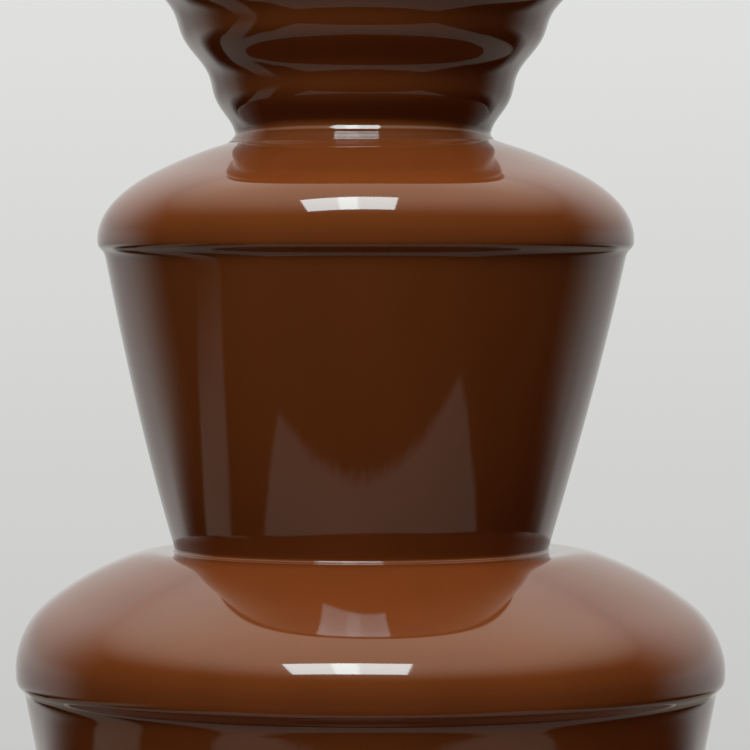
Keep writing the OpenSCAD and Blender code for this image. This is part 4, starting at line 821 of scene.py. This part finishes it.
def coated(name, clean, metallic, rough, dipped_to, runs_mm):
    """Piece coated in chocolate below a height, with runs that reach up or down by runs_mm.

    The height less four times runs_mm times the noise is compared with the shore.
    """
    material, tree, place = new_material(name)
    stretch = (per_metre(RUN_MM), per_metre(RUN_MM), per_metre(RUN_LONG_MM))
    flow = add(tree, "Mapping", {"Vector": place, "Scale": stretch})
    runs = add(tree, "TexNoise", {"Vector": flow.outputs[0], "Scale": 1.0, "Detail": 4.0})
    height = add(tree, "SeparateXYZ", {0: place}).outputs[2]
    shaken = add(tree, "Math", {0: runs.outputs[0], 1: -4 * runs_mm * MM, 2: height},
                 operation="MULTIPLY_ADD")
    shore, soft = (dipped_to - 2 * runs_mm) * MM, SHORE_SOFT_MM * MM
    coat = add(tree, "MapRange", {
        "Value": shaken.outputs[0], "From Min": shore + soft, "From Max": shore - soft}).outputs[0]
    shade = add(tree, "Mix", {0: runs.outputs[0], 6: linear(DARK_COAT), 7: linear(PALE_MILK)},
                data_type="RGBA")
    colour = add(tree, "Mix", {0: coat, 6: linear(clean), 7: shade.outputs[2]}, data_type="RGBA")
    bare = add(tree, "MapRange", {"Value": coat, "To Min": metallic, "To Max": 0.0})
    gloss = add(tree, "MapRange", {"Value": coat, "To Min": rough, "To Max": COAT_ROUGH})
    relief = add(tree, "Bump", {"Height": coat, "Distance": COAT_MM * MM})
    surface = add(tree, "BsdfPrincipled", {
        "Base Color": colour.outputs[2], "Metallic": bare.outputs[0],
        "Roughness": gloss.outputs[0], "Normal": relief.outputs[0]})
    add(tree, "OutputMaterial", {"Surface": surface.outputs[0]})
    return material


# Polished tube: brown in the pool, with bright steel between the runs above it.
coated_steel = coated("chocolate_coated_steel", "#CFCECA", metallic=1.0, rough=0.12,
                      dipped_to=190, runs_mm=40)
# Waxy ivory screw: brown almost to its top, because it carries the chocolate up.
coated_acetal = coated("chocolate_coated_acetal", "#DFD7C1", metallic=0.0, rough=0.28,
                       dipped_to=350, runs_mm=45)
own_finish = {"tower_tube": coated_steel, "tower_posts": coated_steel,
              "auger_core": coated_acetal, "auger_flight": coated_acetal}
print("pieces with a coat:", len(own_finish))

# %% [markdown]
# Every solid that still shows now takes the finish of its material slot, apart from the few that
# have one of their own.

# %% Dress the solids
for row in frame["record"]["subparts"]:
    finish = own_finish.get(row["node"], finishes.get(row["material_slot"], chocolate))
    slots = frame["nodes"][row["node"]].data.materials
    slots.clear()
    slots.append(finish)

# %% [markdown]
# The studio's floor. A grey table stands under the fountain and ends a little way in front of it,
# and the wet curtains mirror its edge. One square carries it all, because the table's outline is
# only ever seen as a mirror image: a mask draws its bowed front, its two sides and a strip beside
# it, with a ragged, soft border. All sizes here are in metres.

# %% Outline of the table
FLOOR_HALF = 1.2
TABLE_LEFT, TABLE_RIGHT, TABLE_FRONT, FRONT_SOFT, SIDE_SOFT = -0.43, 0.50, -0.481, 0.01, 0.008
TABLE_BOW, BOW_MIDDLE, RAGGED_MM, RAGGED_BY = 0.19, -0.03, 14, 0.03
floor_mesh = bpy.data.meshes.new("table")
square = ((-1, -1), (1, -1), (1, 1), (-1, 1))
floor_mesh.from_pydata([(x * FLOOR_HALF, y * FLOOR_HALF, 0) for x, y in square], [], [(0, 1, 2, 3)])
table = bpy.data.objects.new("table", floor_mesh)
scene.collection.objects.link(table)
paper, tree, place = new_material("pale_table")
ragged = add(tree, "TexNoise", {"Vector": place, "Scale": per_metre(RAGGED_MM), "Detail": 3.0})
shake = add(tree, "VectorMath", {0: ragged.outputs["Color"], 1: (0.5, 0.5, 0.5)},
            operation="SUBTRACT")
shaken = add(tree, "VectorMath", {0: shake.outputs[0], 1: (RAGGED_BY, RAGGED_BY, 0.0), 2: place},
             operation="MULTIPLY_ADD")
axes = add(tree, "SeparateXYZ", {0: shaken.outputs[0]})
aside = add(tree, "Math", {0: axes.outputs[0], 1: BOW_MIDDLE}, operation="SUBTRACT").outputs[0]
bowed = add(tree, "Math", {0: aside, 1: aside}, operation="MULTIPLY").outputs[0]
front_y = add(tree, "Math", {0: bowed, 1: -TABLE_BOW, 2: axes.outputs[1]},
              operation="MULTIPLY_ADD").outputs[0]
inside = add(tree, "MapRange", {
    "Value": front_y, "From Min": TABLE_FRONT - FRONT_SOFT, "From Max": TABLE_FRONT + FRONT_SOFT})
for edge, soft in ((TABLE_LEFT, SIDE_SOFT), (TABLE_RIGHT, -SIDE_SOFT)):
    within = add(tree, "MapRange", {
        "Value": axes.outputs[0], "From Min": edge - soft, "From Max": edge + soft})
    inside = add(tree, "Math", {0: inside.outputs[0], 1: within.outputs[0]}, operation="MULTIPLY")
print("table", round(TABLE_RIGHT - TABLE_LEFT, 2), "m wide on a floor of", 2 * FLOOR_HALF, "m")

# %% [markdown]
# The strip is a band at an angle: a place counts as on it where its distance from the band's middle
# line is small. Mirror images show the grey table, and beyond it a near-black floor, painted shade
# that stands for the dark room in front. The camera sees a plain pale floor, which fades into the
# backdrop with distance.

# %% Strip, tones and fade
STRIP_TURN, STRIP_OFF, STRIP_HALF, STRIP_SOFT = (0.688, -0.726), 0.475, 0.125, 0.015
FADE_FROM, FADE_TO, GRAIN_MM = 0.75, 1.15, 1.2
on_floor = add(tree, "SeparateXYZ", {0: place})
across = add(tree, "Math", {0: on_floor.outputs[0], 1: STRIP_TURN[0], 2: STRIP_OFF},
             operation="MULTIPLY_ADD")
across = add(tree, "Math", {0: on_floor.outputs[1], 1: STRIP_TURN[1], 2: across.outputs[0]},
             operation="MULTIPLY_ADD")
off_strip = add(tree, "Math", {0: across.outputs[0]}, operation="ABSOLUTE")
strip = add(tree, "MapRange", {"Value": off_strip.outputs[0], "From Min": STRIP_HALF + STRIP_SOFT,
                               "From Max": STRIP_HALF - STRIP_SOFT})
inside = add(tree, "Math", {0: inside.outputs[0], 1: strip.outputs[0]}, operation="MAXIMUM")
grain = add(tree, "TexNoise", {"Vector": place, "Scale": per_metre(GRAIN_MM)})
tone = add(tree, "Mix", {0: grain.outputs[0], 6: linear("#B2B4B8"), 7: linear("#BABCC0")},
           data_type="RGBA")
pale = add(tree, "BsdfDiffuse", {"Color": tone.outputs[2]})
# Grey on the table; near black beyond it, painted shade of the dark room, seen only in mirror
# images and bounced light
table_and_painted_shade = add(tree, "Mix", {0: inside.outputs[0], 6: linear("#0B0A0A"), 7: linear("#90908F")},
           data_type="RGBA")
dull = add(tree, "BsdfDiffuse", {"Color": table_and_painted_shade.outputs[2]})
seen = add(tree, "LightPath").outputs["Is Camera Ray"]
top = add(tree, "MixShader", {0: seen, 1: dull.outputs[0], 2: pale.outputs[0]})
clear = add(tree, "BsdfTransparent")
away = add(tree, "VectorMath", {0: place}, operation="LENGTH").outputs["Value"]
gone = add(tree, "MapRange", {"Value": away, "From Min": FADE_FROM, "From Max": FADE_TO},
           interpolation_type="SMOOTHSTEP")
faded = add(tree, "MixShader", {0: gone.outputs[0], 1: top.outputs[0], 2: clear.outputs[0]})
add(tree, "OutputMaterial", {"Surface": faded.outputs[0]})
floor_mesh.materials.append(paper)
print("floor fades from", FADE_FROM, "to", FADE_TO, "m")

# %% [markdown]
# The room. Wet chocolate is a mirror, so what stands round the fountain matters more than its
# colour: a pale backdrop behind, a bright ceiling of diffusing cloth, and a dark room in front.
# Walls could be modelled, but a world that depends on the direction alone is simpler and has no
# corners. Here, behind and above are the parts of a direction that point back and up.

# %% Room
CEILING_TILT, CEILING_FROM, CEILING_TO, CEILING_LIGHT, DARK_LIGHT = 0.1, 0.47, 0.9, 1.9, 0.02
BACKDROP_FROM, BACKDROP_TO, BACKDROP_LOW, BACKDROP_RISE = 0.12, 0.75, 0.54, 1.05
FLOOR_LIGHT, FLOOR_LEAN, FLOOR_DIP = 1.0, -0.9, 0.5
world = bpy.data.worlds.new("studio")
world.use_nodes = True
scene.world = world
tree = world.node_tree
tree.nodes.clear()
axes = add(tree, "SeparateXYZ", {0: add(tree, "TexCoord").outputs["Generated"]})
behind, above = axes.outputs[1], axes.outputs[2]
sweep = add(tree, "MapRange", {"Value": behind, "From Min": BACKDROP_FROM, "From Max": BACKDROP_TO},
            interpolation_type="SMOOTHSTEP")
rising = add(tree, "MapRange", {
    "Value": above, "To Min": BACKDROP_LOW, "To Max": BACKDROP_LOW + BACKDROP_RISE})
below = add(tree, "MapRange", {"Value": above, "From Max": -FLOOR_DIP, "To Max": FLOOR_DIP})
lit_floor = add(tree, "Math", {0: axes.outputs[0], 1: FLOOR_LEAN, 2: FLOOR_LIGHT},
                operation="MULTIPLY_ADD")
risen = add(tree, "Math", {0: below.outputs[0], 1: lit_floor.outputs[0], 2: rising.outputs[0]},
            operation="MULTIPLY_ADD")
backdrop = add(tree, "Math", {0: sweep.outputs[0], 1: risen.outputs[0]}, operation="MULTIPLY")
raised = add(tree, "Math", {0: behind, 1: CEILING_TILT, 2: above}, operation="MULTIPLY_ADD")
ceiling = add(tree, "MapRange", {
    "Value": raised.outputs[0], "From Min": CEILING_FROM, "From Max": CEILING_TO,
    "To Min": DARK_LIGHT, "To Max": CEILING_LIGHT}, interpolation_type="SMOOTHSTEP")
light = add(tree, "Math", {0: backdrop.outputs[0], 1: ceiling.outputs[0]}, operation="MAXIMUM")
tint = add(tree, "Mix", {0: sweep.outputs[0], 6: linear("#FFF3DC"), 7: linear("#FDFCF7")},
           data_type="RGBA")
mirrored = add(tree, "Background", {"Strength": light.outputs[0], "Color": tint.outputs[2]})
print("ceiling at", CEILING_LIGHT, "and backdrop from", BACKDROP_LOW)

# %% [markdown]
# The camera sees the backdrop alone, a pale wall that darkens a little downwards, and so do clear
# pieces. Glossy rays that go back level meet that same wall, so that metal shows it too.

# %% Backdrop
WALL_LOW, WALL_HIGH, STEEP, LEVEL = -0.115, 0.06, 0.25, 0.08
height = add(tree, "MapRange", {"Value": above, "From Min": WALL_LOW, "From Max": WALL_HIGH})
wall = add(tree, "Mix", {0: height.outputs[0], 6: linear("#C9C9C7"), 7: linear("#E0E1DF")},
           data_type="RGBA")
shown = add(tree, "Background", {"Color": wall.outputs[2], "Strength": 1.0})
paths = add(tree, "LightPath")
off_level = add(tree, "Math", {0: above}, operation="ABSOLUTE").outputs[0]
level = add(tree, "MapRange", {"Value": off_level, "From Min": STEEP, "From Max": LEVEL})
toward = add(tree, "Math", {0: sweep.outputs[0], 1: level.outputs[0]}, operation="MULTIPLY")
glossy = add(tree, "Math", {0: paths.outputs["Is Glossy Ray"], 1: toward.outputs[0]},
             operation="MULTIPLY")
seen = add(tree, "Math", {0: paths.outputs["Is Camera Ray"],
                          1: paths.outputs["Is Transmission Ray"]}, operation="MAXIMUM")
seen = add(tree, "Math", {0: seen.outputs[0], 1: glossy.outputs[0]}, operation="MAXIMUM")
both = add(tree, "MixShader", {0: seen.outputs[0], 1: mirrored.outputs[0], 2: shown.outputs[0]})
add(tree, "OutputWorld", {"Surface": both.outputs[0]})
scene.view_settings.view_transform = "Standard"
print("world nodes:", len(tree.nodes))

# %% [markdown]
# One soft box hangs over the camera, a little to its left. Its crisp white patch on both domes is
# the clearest sign of where it stands, so its height, width and distance were set from those
# patches. A soft box is brightest in front of its lamp, so a narrow strip in the middle adds to it.

# %% Soft box
BOX_AT, BOX_TILT, BOX_COLOUR = Vector((-0.088, -0.507, 0.984)), math.radians(35), "#E9FCFF"
CORE_AT = BOX_AT + Vector((0, 0.004, -0.004))
BOX_SIZE, BOX_LIGHT = (0.495, 0.305), 14.5
CORE_SIZE, CORE_LIGHT = (0.10, 0.305), 5.0
for name, spot, (wide, high), radiance in (("soft_box", BOX_AT, BOX_SIZE, BOX_LIGHT),
                                           ("soft_box_core", CORE_AT, CORE_SIZE, CORE_LIGHT)):
    lamp = bpy.data.lights.new(name, "AREA")
    lamp.shape, lamp.size, lamp.size_y = "RECTANGLE", wide, high
    lamp.color, lamp.energy = linear(BOX_COLOUR)[:3], radiance * math.pi * wide * high
    box = bpy.data.objects.new(name, lamp)
    box.location = spot
    box.rotation_euler = (BOX_TILT, 0, 0)
    scene.collection.objects.link(box)
    print(name, round(lamp.energy, 2), "W")
